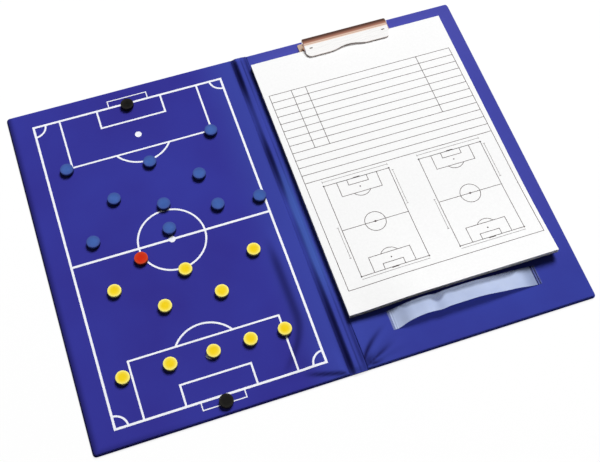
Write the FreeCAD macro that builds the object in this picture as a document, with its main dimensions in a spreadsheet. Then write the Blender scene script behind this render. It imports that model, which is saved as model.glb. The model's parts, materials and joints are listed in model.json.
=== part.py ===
import FreeCAD, Part
import math
import os

import Sketcher
from FreeCAD import Placement, Rotation, Vector

# Folding football tactics board: two vinyl-covered leaves joined by a welded vinyl spine.
# The left leaf is a steel-backed pitch with magnetic markers, the right leaf a clipboard.
# It lies open on its outer faces: +X towards the clipboard leaf, +Y towards the clip, +Z up.
# The origin is at the middle of the underside. All sizes are millimetres.

os.makedirs("parts", exist_ok=True)
doc = FreeCAD.newDocument("tactics_board")
sheet = doc.addObject("Spreadsheet::Sheet", "sizes")

# Driving dimensions
DRIVING = {
    # leaves and their vinyl cover
    "left_leaf_width": 236.1,
    "right_leaf_width": 228.4,
    "leaf_height": 366.0,
    "skin_thickness": 0.5,
    "core_thickness": 2.4,
    "steel_thickness": 0.4,
    "steel_margin": 6.0,
    "weld_lip": 1.8,
    "lip_corner": 4.2,
    "core_corner": 2.4,
    "core_clearance": 0.15,
    "edge_round": 1.0,
    # welded spine
    "fold_pitch": 14.0,
    "fold_margin": 1.75,
    "web_reach": 1.15,
    "ridge_width": 3.65,
    "ridge_rise": 1.3,
    "ridge_margin": 1.95,
    # printed pitch
    "pitch_side_margin": 24.0,
    "pitch_fold_margin": 16.6,
    "pitch_bottom_margin": 18.0,
    "pitch_top_margin": 20.0,
    "touch_line": 2.2,
    "area_line": 1.8,
    "net_line": 1.0,
    "circle_radius": 32.5,
    "spot_radius": 3.3,
    "spot_distance": 39.5,
    "penalty_width": 142.8,
    "penalty_depth": 57.5,
    "goal_width": 66.2,
    "goal_depth": 21.2,
    "net_width": 40.4,
    "net_depth": 8.0,
    "corner_arc": 12.0,
    "ink_thickness": 0.12,
    # magnetic markers
    "marker_diameter": 13.0,
    "marker_height": 4.2,
    "marker_round": 1.0,
    "marker_wall": 1.3,
    "marker_gap": 0.03,
    "magnet_thickness": 2.2,
    "magnet_clearance": 0.1,
    "magnet_recess": 0.1,
    # tear-off pad
    "pad_side_margin": 18.1,
    "pad_fold_margin": 0.3,
    "pad_top_margin": 17.7,
    "pad_bottom_margin": 51.3,
    "card_thickness": 0.8,
    "sheets_thickness": 5.4,
    "glue_thickness": 0.3,
    "pad_gap": 0.02,
    # board clip
    "clip_width": 92.8,
    "clip_sheet": 0.9,
    "lever_angle": 14.8,
    "barrel_radius": 4.3,
    "tail_angle": 5.0,
    "jaw_reach": 10.0,
    "jaw_gap": 0.05,
    "jaw_corner": 6.0,
    "jaw_round": 1.3,
    "cheek_depth": 2.5,
    "cheek_rear": 1.8,
    "notch_width": 46.0,
    "notch_depth": 3.4,
    "slot_length": 3.4,
    "slot_width": 1.1,
    "slot_margin": 6.4,
    "slot_setback": 9.6,
    "pin_setback": 7.9,
    "pin_radius": 1.2,
    "pin_clearance": 0.05,
    "pin_head_radius": 2.0,
    "pin_head_length": 0.8,
    "base_sheet": 1.0,
    "base_overhang": 4.0,
    "base_front_gap": 0.8,
    "base_rear": 5.3,
    "ear_radius": 2.9,
    "ear_stem": 2.0,
    "ear_gap": 0.4,
    "ear_sheet": 1.2,
    "rivet_spread": 50.0,
    "rivet_radius": 1.5,
    "rivet_head_radius": 2.8,
    "rivet_head": 0.9,
    "rivet_tail": 0.6,
    "rivet_clearance": 0.1,
    # clip spring
    "wire_diameter": 0.9,
    "coil_radius": 2.55,
    "coil_pitch": 1.45,
    "coil_turns": 6.0,
    "spring_leg": 6.0,
    "leg_angle": 60.0,
    "leg_gap": 0.1,
    # clear pen strip
    "strip_width": 20.0,
    "strip_thickness": 0.45,
    "strip_tab": 5.0,
    "strip_rise": 8.0,
    "strip_side_margin": 43.4,
    "strip_fold_margin": 35.0,
    "strip_bottom_margin": 28.0,
}

# Where each marker stands, as shares of half the pitch's width and half its length
BLUE_PLACES = [
    (0.716, 0.638), (0.023, 0.538), (-0.790, 0.636), (0.457, 0.365), (0.954, 0.108),
    (-0.424, 0.355), (0.026, 0.232), (0.533, 0.131), (0.005, 0.065), (-0.734, 0.114),
]
YELLOW_PLACES = [
    (0.715, -0.220), (0.030, -0.218), (-0.669, -0.224), (0.294, -0.415), (-0.257, -0.402),
    (0.738, -0.745), (0.405, -0.743), (0.045, -0.746), (-0.368, -0.743), (-0.813, -0.738),
]
RED_PLACES = [
    (-0.341, -0.073),
]
BLACK_PLACES = [
    (-0.017, 0.982), (0.016, -1.040),
]

for row, (name, number) in enumerate(DRIVING.items(), start=1):
    sheet.set(f"A{row}", name)
    sheet.set(f"B{row}", str(number))
    sheet.setAlias(f"B{row}", name)
doc.recompute()


def value(expression):
    """The number that an expression on the sheet's sizes gives."""
    return float(sheet.evalExpression(expression))


def total(*terms):
    """One bracketed expression for the sum of several."""
    return "(" + " + ".join(terms) + ")"


def size(name):
    """The expression for one size of the sheet."""
    return "sizes." + name


def minus(expression):
    """The bracketed expression for a value with its sign turned."""
    return f"(-1 * {expression})"


def half(expression):
    """The bracketed expression for half a value."""
    return f"({expression} / 2)"


# Lines of the layout, all worked out from the driving dimensions
OPEN_WIDTH = total(size("left_leaf_width"), size("right_leaf_width"), size("fold_pitch"),
                   "2 * " + size("fold_margin"))
LEFT_EDGE = minus(half(OPEN_WIDTH))
RIGHT_EDGE = half(OPEN_WIDTH)
LEFT_WALL = total(LEFT_EDGE, size("left_leaf_width"))
RIGHT_WALL = total(RIGHT_EDGE, minus(size("right_leaf_width")))
LEFT_FOLD = total(LEFT_WALL, size("fold_margin"))
RIGHT_FOLD = total(RIGHT_WALL, minus(size("fold_margin")))
TOP_EDGE = half(size("leaf_height"))
BOTTOM_EDGE = minus(TOP_EDGE)
LEAF_TOP = total("2 * " + size("skin_thickness"), size("core_thickness"))
WEB_TOP = f"(2 * {size('skin_thickness')})"
PAD_RIGHT = total(RIGHT_EDGE, minus(size("pad_side_margin")))
PAD_LEFT = total(RIGHT_WALL, size("pad_fold_margin"))
PAD_TOP = total(TOP_EDGE, minus(size("pad_top_margin")))
PAD_BOTTOM = total(BOTTOM_EDGE, size("pad_bottom_margin"))
PAD_BASE = total(LEAF_TOP, size("pad_gap"))
PAD_THICKNESS = total(size("card_thickness"), size("sheets_thickness"))
CLIP_X = half(total(PAD_LEFT, PAD_RIGHT))
PIN_Y = total(PAD_TOP, size("pin_setback"))
PIN_RISE = total(size("pad_gap"), PAD_THICKNESS, size("jaw_gap"), size("cheek_depth"))
PIN_Z = total(LEAF_TOP, PIN_RISE)
PITCH_WIDTH = total(size("left_leaf_width"), minus(size("pitch_side_margin")),
                    minus(size("pitch_fold_margin")))
PITCH_LENGTH = total(size("leaf_height"), minus(size("pitch_top_margin")),
                     minus(size("pitch_bottom_margin")))
PITCH_X = total(LEFT_EDGE, size("pitch_side_margin"), half(PITCH_WIDTH))
PITCH_Y = total(BOTTOM_EDGE, size("pitch_bottom_margin"), half(PITCH_LENGTH))
STRIP_LENGTH = total(size("right_leaf_width"), minus(size("strip_side_margin")),
                     minus(size("strip_fold_margin")))

# Closeness within which two values count as equal
NEAR = 1e-3
subparts = []


def finished(part, label):
    """Names a sub-part and keeps it for writing."""
    part.Label = label
    subparts.append(part)
    return part


def new_body(label, base_z="0", base_x="0", base_y="0", kept=True):
    """A body whose placement follows expressions; one that is not kept only shapes another."""
    body = doc.addObject("PartDesign::Body", label)
    for axis, expression in (("x", base_x), ("y", base_y), ("z", base_z)):
        body.setExpression("Placement.Base." + axis, expression)
    return finished(body, label) if kept else body


def new_sketch(body, role, offset=None):
    """A sketch on one of the body's own origin planes, moved along its normal if asked."""
    sketch = body.newObject("Sketcher::SketchObject", body.Label + "_outline")
    plane = next(f for f in body.Origin.OriginFeatures if f.Role == role)
    sketch.AttachmentSupport = [(plane, "")]
    sketch.MapMode = "FlatFace"
    if offset:
        sketch.setExpression("AttachmentOffset.Base.z", offset)
    return sketch


def pin_point(sketch, geometry, position, x, y):
    """Holds one point of a sketch at expressions measured from the sketch's origin."""
    for kind, expression in (("DistanceX", x), ("DistanceY", y)):
        held = Sketcher.Constraint(kind, -1, 1, geometry, position, value(expression))
        sketch.setExpression(f"Constraints[{sketch.addConstraint(held)}]", expression)


def outline(sketch, corners, arcs=None):
    """A closed outline through corners; arcs gives a radius and a turn for some of its sides."""
    arcs = arcs or {}
    points = [Vector(value(x), value(y), 0) for x, y in corners]
    up = Vector(0, 0, 1)
    ends = []
    for n, start in enumerate(points):
        end = points[(n + 1) % len(points)]
        if n not in arcs:
            ends.append((sketch.addGeometry(Part.LineSegment(start, end), False), 1, 2))
            continue
        radius, turn = arcs[n]
        chord = end - start
        reach = value(radius) ** 2 - (chord.Length / 2) ** 2
        side = up.cross(chord).normalize() * math.sqrt(max(reach, 0.0))
        centre = (start + end) / 2 + side * (1 if turn == "left" else -1)
        first, last = (start, end) if turn == "left" else (end, start)
        angles = [math.atan2(p.y - centre.y, p.x - centre.x) for p in (first, last)]
        circle = Part.Circle(centre, up, value(radius))
        arc = sketch.addGeometry(Part.ArcOfCircle(circle, angles[0], angles[1]), False)
        ends.append((arc, 1, 2) if turn == "left" else (arc, 2, 1))
    for n, (geometry, _, last) in enumerate(ends):
        after, first, _ = ends[(n + 1) % len(ends)]
        sketch.addConstraint(Sketcher.Constraint("Coincident", geometry, last, after, first))
    for n, (x, y) in enumerate(corners):
        pin_point(sketch, ends[n][0], ends[n][1], x, y)
    for n, (radius, _) in arcs.items():
        held = Sketcher.Constraint("Radius", ends[n][0], value(radius))
        sketch.setExpression(f"Constraints[{sketch.addConstraint(held)}]", radius)


def rectangle(sketch, low, high):
    """A rectangle between two corners given as pairs of expressions."""
    outline(sketch, [low, (high[0], low[1]), high, (low[0], high[1])])


def circles(sketch, centres, radius):
    """Equal round outlines at pairs of expressions."""
    for x, y in centres:
        round_hole = Part.Circle(Vector(value(x), value(y), 0), Vector(0, 0, 1), value(radius))
        geometry = sketch.addGeometry(round_hole, False)
        pin_point(sketch, geometry, 3, x, y)
        held = Sketcher.Constraint("Radius", geometry, value(radius))
        sketch.setExpression(f"Constraints[{sketch.addConstraint(held)}]", radius)


def pad(body, sketch, length, both_ways=False, backwards=False):
    """Adds material over a sketch."""
    feature = body.newObject("PartDesign::Pad", body.Label + "_pad")
    feature.Profile = sketch
    feature.setExpression("Length", length)
    feature.Midplane = both_ways
    feature.Reversed = backwards
    doc.recompute()
    return feature


def pocket(body, sketch, length=None, backwards=False):
    """Takes material away over a sketch, right through both ways where no length is given."""
    before = body.Shape.Volume
    feature = body.newObject("PartDesign::Pocket", body.Label + "_pocket")
    feature.Profile = sketch
    if length:
        feature.setExpression("Length", length)
        feature.Reversed = backwards
    else:
        feature.Type = "ThroughAll"
        feature.Midplane = True
    doc.recompute()
    if not body.Shape.Volume < before - NEAR:
        raise RuntimeError(body.Label + ": a pocket cut nothing")
    return feature


def fillet(body, radius, chosen):
    """Rounds the edges of the body's tip that a test on an edge picks."""
    base = body.Tip
    names = [f"Edge{n}" for n, edge in enumerate(base.Shape.Edges, start=1) if chosen(edge)]
    feature = body.newObject("PartDesign::Fillet", body.Label + "_fillet")
    feature.Base = (base, names)
    feature.setExpression("Radius", radius)
    doc.recompute()
    return feature


def upright(edge):
    """True of a straight edge that runs along Z."""
    return 1 - abs(edge.tangentAt(edge.FirstParameter).z) < NEAR and len(edge.Vertexes) == 2


def at_height(edge, height):
    """True of an edge that lies level at a height in its body."""
    return all(abs(vertex.Z - height) < NEAR for vertex in edge.Vertexes)


def plate(label, low, high, base_z, thickness, corner=None, rounded=None):
    """A flat plate between two corners, with the corners that a test picks rounded."""
    body = new_body(label, base_z)
    sketch = new_sketch(body, "XY_Plane")
    rectangle(sketch, low, high)
    pad(body, sketch, thickness)
    if corner:
        picks = rounded or (lambda x: True)
        fillet(body, corner, lambda e: upright(e) and picks(e.CenterOfMass.x))
    return body


# Leaf covers and cores
HINGE_LIP = total(size("fold_margin"), minus(size("web_reach")))
INSET = total(size("weld_lip"), size("skin_thickness"))
RIVETS = [(total(CLIP_X, f"{side} * {size('rivet_spread')} / 2"), PIN_Y) for side in (-1, 1)]
RIVET_HOLE = total(size("rivet_radius"), size("rivet_clearance"))
RIVET_RECESS = total(size("rivet_head_radius"), size("rivet_clearance"))


class Leaf:
    """The lines of one leaf: its weld edge, the wall beside the fold and the way out from the fold."""

    def __init__(self, name, edge, wall, outward):
        self.name = name
        self.outward = outward
        self.lines = {"edge": edge, "wall": wall}

    def span(self, edge_inset, wall_inset):
        """Low and high X of a piece set in from the weld edge and from the wall."""
        sign = "1" if self.outward > 0 else "-1"
        outer = total(self.lines["edge"], f"-1 * {sign} * {edge_inset}")
        inner = total(self.lines["wall"], f"{sign} * {wall_inset}")
        return (inner, outer) if self.outward > 0 else (outer, inner)

    def corners(self, edge_inset, wall_inset, end_inset):
        """Low and high corners of a piece set in from the edge, the wall and the two ends."""
        low_x, high_x = self.span(edge_inset, wall_inset)
        end = total(TOP_EDGE, minus(end_inset))
        return (low_x, minus(end)), (high_x, end)

    def free_side(self, x):
        """True on the half of the leaf that is away from the fold."""
        middle = (value(self.lines["edge"]) + value(self.lines["wall"])) / 2
        return (x - middle) * self.outward > 0


LEFT = Leaf("left", LEFT_EDGE, LEFT_WALL, -1)
RIGHT = Leaf("right", RIGHT_EDGE, RIGHT_WALL, 1)


def outer_skin(leaf):
    """Flat vinyl sheet of the outside, with its weld lip."""
    low, high = leaf.corners("0", minus(HINGE_LIP), "0")
    plate(leaf.name + "_outer_skin", low, high, "0", size("skin_thickness"),
          size("lip_corner"), leaf.free_side)


def inner_skin(leaf, holes=()):
    """Vinyl sheet formed over the core, welded to the outer sheet along a flat lip."""
    body = new_body(leaf.name + "_inner_skin", size("skin_thickness"))
    flange = new_sketch(body, "XY_Plane")
    rectangle(flange, *leaf.corners("0", minus(HINGE_LIP), "0"))
    pad(body, flange, size("skin_thickness"))
    fillet(body, size("lip_corner"), lambda e: upright(e) and leaf.free_side(e.CenterOfMass.x))
    raised = new_sketch(body, "XY_Plane")
    rectangle(raised, *leaf.corners(size("weld_lip"), "0", size("weld_lip")))
    rise = total(size("core_thickness"), size("skin_thickness"))
    pad(body, raised, rise)
    lip = value(size("skin_thickness"))
    fillet(body, size("core_corner"), lambda e: upright(e) and e.Length > lip + NEAR)
    fillet(body, size("edge_round"), lambda e: at_height(e, value(rise)))
    cavity = new_sketch(body, "XY_Plane")
    rectangle(cavity, *leaf.corners(INSET, size("skin_thickness"), INSET))
    pocket(body, cavity, size("core_thickness"), backwards=True)
    if holes:
        punched = new_sketch(body, "XY_Plane")
        circles(punched, holes, RIVET_HOLE)
        pocket(body, punched)


def core_corners(leaf, margin="0"):
    """Corners of a stiff sheet inside the leaf, set in by a margin."""
    side = total(INSET, size("core_clearance"), margin)
    wall = total(size("skin_thickness"), size("core_clearance"), margin)
    return leaf.corners(side, wall, side)


def boards():
    """Greyboard of the right leaf, and the thinner one under the left leaf's steel sheet."""
    low, high = core_corners(RIGHT)
    right = plate("right_board", low, high, size("skin_thickness"), size("core_thickness"),
                  size("core_corner"))
    holes = new_sketch(right, "XY_Plane")
    circles(holes, RIVETS, RIVET_HOLE)
    pocket(right, holes)
    recess = new_sketch(right, "XY_Plane")
    circles(recess, RIVETS, RIVET_RECESS)
    pocket(right, recess, size("rivet_tail"), backwards=True)
    low, high = core_corners(LEFT)
    thickness = total(size("core_thickness"), minus(size("steel_thickness")))
    plate("left_board", low, high, size("skin_thickness"), thickness, size("core_corner"))
    low, high = core_corners(LEFT, size("steel_margin"))
    plate("steel_sheet", low, high, total(size("skin_thickness"), thickness),
          size("steel_thickness"), size("core_corner"))


# Welded spine between the two fold lines
def spine():
    """Flat outer strip and an inner strip with two hollow ridges, welded face to face."""
    left = total(LEFT_FOLD, size("web_reach"))
    right = total(RIGHT_FOLD, minus(size("web_reach")))
    plate("spine_outer_skin", (left, BOTTOM_EDGE), (right, TOP_EDGE), "0", size("skin_thickness"))
    body = new_body("spine_inner_skin", size("skin_thickness"))
    sketch = new_sketch(body, "XZ_Plane")
    skin = size("skin_thickness")
    feet = [total(RIGHT_FOLD, minus(size("ridge_margin")), f"-{n} * {size('ridge_width')}")
            for n in (2, 1, 0)]
    width, rise = size("ridge_width"), size("ridge_rise")
    crown = f"(({width} ^ 2 / 4 + {rise} ^ 2) / (2 * {rise}))"
    hollow = f"((({width} - 2 * {skin}) ^ 2 / 4 + {rise} ^ 2) / (2 * {rise}))"
    corners = [(left, "0")]
    for foot, following in zip(feet, feet[1:]):
        corners += [(total(foot, skin), "0"), (total(following, minus(skin)), "0")]
    corners += [(right, "0"), (right, skin)]
    corners += [(foot, skin) for foot in reversed(feet)]
    corners.append((left, skin))
    outline(sketch, corners, {1: (hollow, "right"), 3: (hollow, "right"),
                              7: (crown, "left"), 8: (crown, "left")})
    pad(body, sketch, size("leaf_height"), both_ways=True)


def hinge_web(label, fold):
    """Bare welded vinyl that bends at one fold line."""
    low = total(fold, minus(size("web_reach")))
    high = total(fold, size("web_reach"))
    plate(label, (low, BOTTOM_EDGE), (high, TOP_EDGE), "0", WEB_TOP)


# Printed pitch
def block(low_x, high_x, low_y, high_y, tall):
    """A level box between two corners, standing on height nought."""
    return Part.makeBox(high_x - low_x, high_y - low_y, tall, Vector(low_x, low_y, 0))


def line_frame(width, low_y, high_y, line, tall):
    """A rectangle of printed line, centred across the pitch."""
    reach = width / 2
    outside = block(-reach - line / 2, reach + line / 2, low_y - line / 2, high_y + line / 2, tall)
    inside = block(-reach + line / 2, reach - line / 2, low_y + line / 2, high_y - line / 2, tall)
    return outside.cut(inside)


def line_ring(x, y, radius, line, tall):
    """A printed circle."""
    outside = Part.makeCylinder(radius + line / 2, tall, Vector(x, y, 0))
    return outside.cut(Part.makeCylinder(radius - line / 2, tall, Vector(x, y, 0)))


def pitch_end(tall):
    """The markings of the +Y end: penalty and goal areas, net, spot, penalty arc and corners."""
    goal_line = value(half(PITCH_LENGTH))
    side_line = value(half(PITCH_WIDTH))
    touch, thin = value(size("touch_line")), value(size("area_line"))
    box_line = goal_line - value(size("penalty_depth"))
    spot = goal_line - value(size("spot_distance"))
    ring = value(size("circle_radius"))
    marks = [
        line_frame(value(size("penalty_width")), box_line, goal_line, thin, tall),
        line_frame(value(size("goal_width")), goal_line - value(size("goal_depth")), goal_line, thin, tall),
        line_frame(value(size("net_width")), goal_line, goal_line + value(size("net_depth")),
                   value(size("net_line")), tall),
        line_ring(0, spot, ring, thin, tall).common(block(-ring, ring, spot - 2 * ring, box_line, tall)),
    ]
    for side in (-1, 1):
        corner = line_ring(side * side_line, goal_line, value(size("corner_arc")), thin, tall)
        reach = 2 * value(size("corner_arc"))
        low, high = sorted((side * side_line, side * (side_line - reach)))
        marks.append(corner.common(block(low, high, goal_line - reach, goal_line, tall)))
    frame = line_frame(2 * side_line, 0, goal_line, touch, tall)
    return frame.multiFuse(marks), Part.makeCylinder(value(size("spot_radius")), tall, Vector(0, spot, 0))


def pitch_markings():
    """The printed lines as one thin layer on the left leaf."""
    tall = value(size("ink_thickness"))
    end, spot = pitch_end(tall)
    turn = Placement(Vector(), Rotation(Vector(0, 0, 1), 180))
    other_end, other_spot = end.copy(), spot.copy()
    other_end.Placement = turn
    other_spot.Placement = turn
    centre = line_ring(0, 0, value(size("circle_radius")), value(size("area_line")), tall)
    kick_off = Part.makeCylinder(value(size("spot_radius")), tall)
    lines = end.multiFuse([other_end, centre, kick_off]).removeSplitter()
    part = doc.addObject("Part::Feature", "pitch_markings")
    part.Shape = Part.makeCompound(lines.Solids + [spot, other_spot])
    part.Placement = Placement(Vector(value(PITCH_X), value(PITCH_Y), value(LEAF_TOP)), Rotation())
    finished(part, "pitch_markings")


# Magnetic markers
def marker_shape():
    """A round cap with a rolled edge over a disc magnet, standing on height nought."""
    radius, tall = value(size("marker_diameter")) / 2, value(size("marker_height"))
    rolled, wall = value(size("marker_round")), value(size("marker_wall"))
    recess, thick = value(size("magnet_recess")), value(size("magnet_thickness"))
    bore = radius - wall
    ceiling = recess + thick
    turn = rolled * (1 - math.sqrt(0.5))
    path = [Vector(bore, 0, 0), Vector(radius, 0, 0), Vector(radius, 0, tall - rolled),
            Vector(radius - turn, 0, tall - turn), Vector(radius - rolled, 0, tall),
            Vector(0, 0, tall), Vector(0, 0, ceiling), Vector(bore, 0, ceiling)]
    edges = [Part.LineSegment(path[0], path[1]), Part.LineSegment(path[1], path[2]),
             Part.Arc(path[2], path[3], path[4])]
    edges += [Part.LineSegment(a, b) for a, b in zip(path[4:], path[5:] + path[:1])]
    cap = Part.Face(Part.Wire([e.toShape() for e in edges])).revolve(Vector(), Vector(0, 0, 1), 360)
    magnet = Part.makeCylinder(bore - value(size("magnet_clearance")), thick, Vector(0, 0, recess))
    return Part.makeCompound([cap, magnet])


def markers(colour, places):
    """One marker for each place on the pitch."""
    base = value(total(LEAF_TOP, size("ink_thickness"), size("marker_gap")))
    half_width, half_length = value(half(PITCH_WIDTH)), value(half(PITCH_LENGTH))
    for number, (across, along) in enumerate(places, start=1):
        label = f"{colour}_marker_{number:02d}"
        part = doc.addObject("Part::Feature", label)
        part.Shape = marker_shape()
        place = Vector(value(PITCH_X) + across * half_width, value(PITCH_Y) + along * half_length, base)
        part.Placement = Placement(place, Rotation())
        finished(part, label)


# Tear-off pad
def pad_pieces():
    """Backing card, block of sheets and the glued edge that holds them at the top."""
    glue_line = total(PAD_TOP, minus(size("glue_thickness")))
    sheets_base = total(PAD_BASE, size("card_thickness"))
    plate("pad_card", (PAD_LEFT, PAD_BOTTOM), (PAD_RIGHT, glue_line), PAD_BASE, size("card_thickness"))
    plate("pad_sheets", (PAD_LEFT, PAD_BOTTOM), (PAD_RIGHT, glue_line), sheets_base, size("sheets_thickness"))
    plate("pad_glue_edge", (PAD_LEFT, glue_line), (PAD_RIGHT, PAD_TOP), PAD_BASE, PAD_THICKNESS)


def ogee(reach, rise, shift):
    """An S-bend of two equal arcs moved aside by shift: its turning point and its two radii."""
    square = f"({reach} ^ 2 + {rise} ^ 2)"
    bend = f"({square} / (4 * {rise}))"
    turn_x = total(half(reach), f"{shift} * 2 * {reach} * {rise} / {square}")
    turn_y = total(half(rise), f"{shift} * ({reach} ^ 2 - {rise} ^ 2) / {square}")
    return turn_x, turn_y, total(bend, shift), total(bend, minus(shift))


# Board clip
JAW_Y = minus(total(size("pin_setback"), size("jaw_reach")))
EAR_OUT = total(half(size("clip_width")), minus(size("clip_sheet")), minus(size("ear_gap")))


def clip_base():
    """Riveted foot plate with two upright ears that hold the hinge pin."""
    body = new_body("clip_base", LEAF_TOP, CLIP_X, PIN_Y)
    sketch = new_sketch(body, "XY_Plane")
    reach = total(half(size("clip_width")), size("base_overhang"))
    front = minus(total(size("pin_setback"), minus(size("base_front_gap"))))
    rectangle(sketch, (minus(reach), front), (reach, size("base_rear")))
    pad(body, sketch, size("base_sheet"))
    fillet(body, size("ear_stem"), upright)
    for side in (-1, 1):
        ear = new_sketch(body, "YZ_Plane", f"{side} * {EAR_OUT}")
        stem, radius = size("ear_stem"), size("ear_radius")
        neck = total(PIN_RISE, minus(f"sqrt({radius} ^ 2 - {stem} ^ 2)"))
        top = total(PIN_RISE, radius)
        outline(ear, [(minus(stem), half(size("base_sheet"))), (stem, half(size("base_sheet"))),
                      (stem, neck), (radius, PIN_RISE), ("0", top), (minus(radius), PIN_RISE),
                      (minus(stem), neck)],
                {n: (radius, "left") for n in (2, 3, 4, 5)})
        pad(body, ear, size("ear_sheet"), backwards=side > 0)
    bore = new_sketch(body, "YZ_Plane")
    circles(bore, [("0", PIN_RISE)], total(size("pin_radius"), size("pin_clearance")))
    pocket(body, bore)
    punched = new_sketch(body, "XY_Plane")
    circles(punched, [(f"{side} * {size('rivet_spread')} / 2", "0") for side in (-1, 1)], RIVET_HOLE)
    pocket(body, punched)


def lever_form(label, inset, below):
    """Solid under the jaw's skin, set in from its outside; below gives its underside's corners."""
    body = new_body(label, PIN_Z, CLIP_X, PIN_Y, kept=False)
    radius = total(size("barrel_radius"), minus(inset))
    jaw = total(JAW_Y, inset)
    lean, level = f"sin({size('lever_angle')})", f"cos({size('lever_angle')})"
    section = new_sketch(body, "YZ_Plane")
    outline(section, below + [(f"(-1 * {radius} * {lean})", f"({radius} * {level})"),
                              (jaw, f"(({radius} + {jaw} * {lean}) / {level})")],
            {len(below) - 1: (radius, "left")})
    pad(body, section, total(size("clip_width"), f"-2 * {inset}"), both_ways=True)
    front = value(jaw)
    fillet(body, total(size("jaw_corner"), minus(inset)),
           lambda e: upright(e) and abs(e.CenterOfMass.y - front) < NEAR)
    notch = new_sketch(body, "XY_Plane")
    reach, depth = half(size("notch_width")), size("notch_depth")
    turn_x, turn_y, wide, tight = ogee(reach, depth, inset)
    clear = total(JAW_Y, minus(depth))
    outline(notch, [
        (minus(reach), jaw), (minus(turn_x), total(JAW_Y, turn_y)), (turn_x, total(JAW_Y, turn_y)),
        (reach, jaw), (reach, clear), (minus(reach), clear),
    ], {0: (tight, "left"), 1: (wide, "right"), 2: (tight, "left")})
    pocket(body, notch)
    slope = math.radians(value(size("lever_angle")))
    upward = Vector(0, -math.sin(slope), math.cos(slope))
    bend = value(f"(-1 * {radius} * {lean})")

    def round_the_plate(edge):
        flat = all(abs(v.Point.dot(upward) - value(radius)) < NEAR for v in edge.Vertexes)
        return flat and any(abs(v.Y - bend) > NEAR for v in edge.Vertexes)

    fillet(body, total(size("jaw_round"), minus(inset)), round_the_plate)
    return body


def clip_lever():
    """Pressed jaw: a sloping plate with a turned-down rim, rolled over the pin at its rear."""
    radius, sheet_metal = size("barrel_radius"), size("clip_sheet")
    along, down = f"cos({size('tail_angle')})", f"(-1 * sin({size('tail_angle')}))"
    rim = minus(size("cheek_depth"))
    outside = lever_form("clip_lever_outside", "0", [
        (JAW_Y, rim), (size("cheek_rear"), rim), (f"({radius} * {along})", f"({radius} * {down})"),
    ])
    inner, past = total(radius, minus(sheet_metal)), f"(2 * {radius})"
    inside = lever_form("clip_lever_inside", sheet_metal, [
        (total(JAW_Y, sheet_metal), minus(past)), (f"({past} * {along})", minus(past)),
        (f"({past} * {along})", f"({past} * {down})"), (f"({inner} * {along})", f"({inner} * {down})"),
    ])
    slots = new_sketch(outside, "XY_Plane")
    setback, wide = size("slot_setback"), half(size("slot_width"))
    for side in (-1, 1):
        x = f"({side} * ({size('clip_width')} / 2 - {size('slot_margin')}))"
        long = half(size("slot_length"))
        rectangle(slots, (total(x, minus(long)), minus(total(setback, wide))),
                  (total(x, long), minus(total(setback, minus(wide)))))
    pocket(outside, slots)
    bore = new_sketch(outside, "YZ_Plane")
    circles(bore, [("0", "0")], total(size("pin_radius"), size("pin_clearance")))
    pocket(outside, bore)
    lever = doc.addObject("Part::Cut", "clip_lever")
    lever.Base, lever.Tool = outside, inside
    doc.recompute()
    finished(lever, "clip_lever")


def clip_pin():
    """Hinge pin with a low head at each end, outside the lever's cheeks."""
    body = new_body("clip_pin", PIN_Z, CLIP_X, PIN_Y)
    section = new_sketch(body, "XZ_Plane")
    inner = total(half(size("clip_width")), size("pin_clearance"))
    outer = total(inner, size("pin_head_length"))
    head, shank = size("pin_head_radius"), size("pin_radius")
    outline(section, [
        (minus(outer), "0"), (outer, "0"), (outer, head), (inner, head), (inner, shank),
        (minus(inner), shank), (minus(inner), head), (minus(outer), head),
    ])
    turned = body.newObject("PartDesign::Revolution", "clip_pin_turned")
    turned.Profile = section
    turned.ReferenceAxis = (section, ["H_Axis"])
    turned.Angle = 360
    doc.recompute()


def clip_rivets():
    """Two rivets that hold the foot plate, clinched in the board under the outer skin."""
    shank, head = value(size("rivet_radius")), value(size("rivet_head_radius"))
    low = value(size("skin_thickness"))
    high = value(total(LEAF_TOP, size("base_sheet")))
    tail, dome = value(size("rivet_tail")), value(size("rivet_head"))
    solids = []
    for x, y in RIVETS:
        spot = Vector(value(x), value(y), 0)
        body = Part.makeCylinder(shank, high - low, spot + Vector(0, 0, low))
        foot = Part.makeCylinder(head, tail, spot + Vector(0, 0, low))
        cap = Part.makeCone(head, shank, dome, spot + Vector(0, 0, high))
        solids.append(body.multiFuse([foot, cap]).removeSplitter().Solids[0])
    part = doc.addObject("Part::Feature", "clip_rivets")
    part.Shape = Part.makeCompound(solids)
    finished(part, "clip_rivets")


def tangent_arc(start, direction, end):
    """The arc that leaves start along direction and reaches end."""
    chord = end - start
    along = chord / chord.Length
    aside = direction - along * direction.dot(along)
    lean = math.atan2(aside.Length, direction.dot(along))
    middle = (start + end) / 2 + aside.normalize() * (chord.Length / 2 * math.tan(lean / 2))
    return Part.Arc(start, middle, end).toShape()


def biarc(start, leaving, end, arriving):
    """Two arcs that join in one tangent, from start to end."""
    gap = end - start
    both = leaving + arriving
    a = 2 * (1 - leaving.dot(arriving))
    b = 2 * gap.dot(both)
    c = -gap.dot(gap)
    reach = (-b + math.sqrt(b * b - 4 * a * c)) / (2 * a)
    joint = (start + leaving * reach + end - arriving * reach) / 2
    link = (end - arriving * reach) - (start + leaving * reach)
    return [tangent_arc(start, leaving, joint), tangent_arc(joint, link / link.Length, end)]


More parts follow.
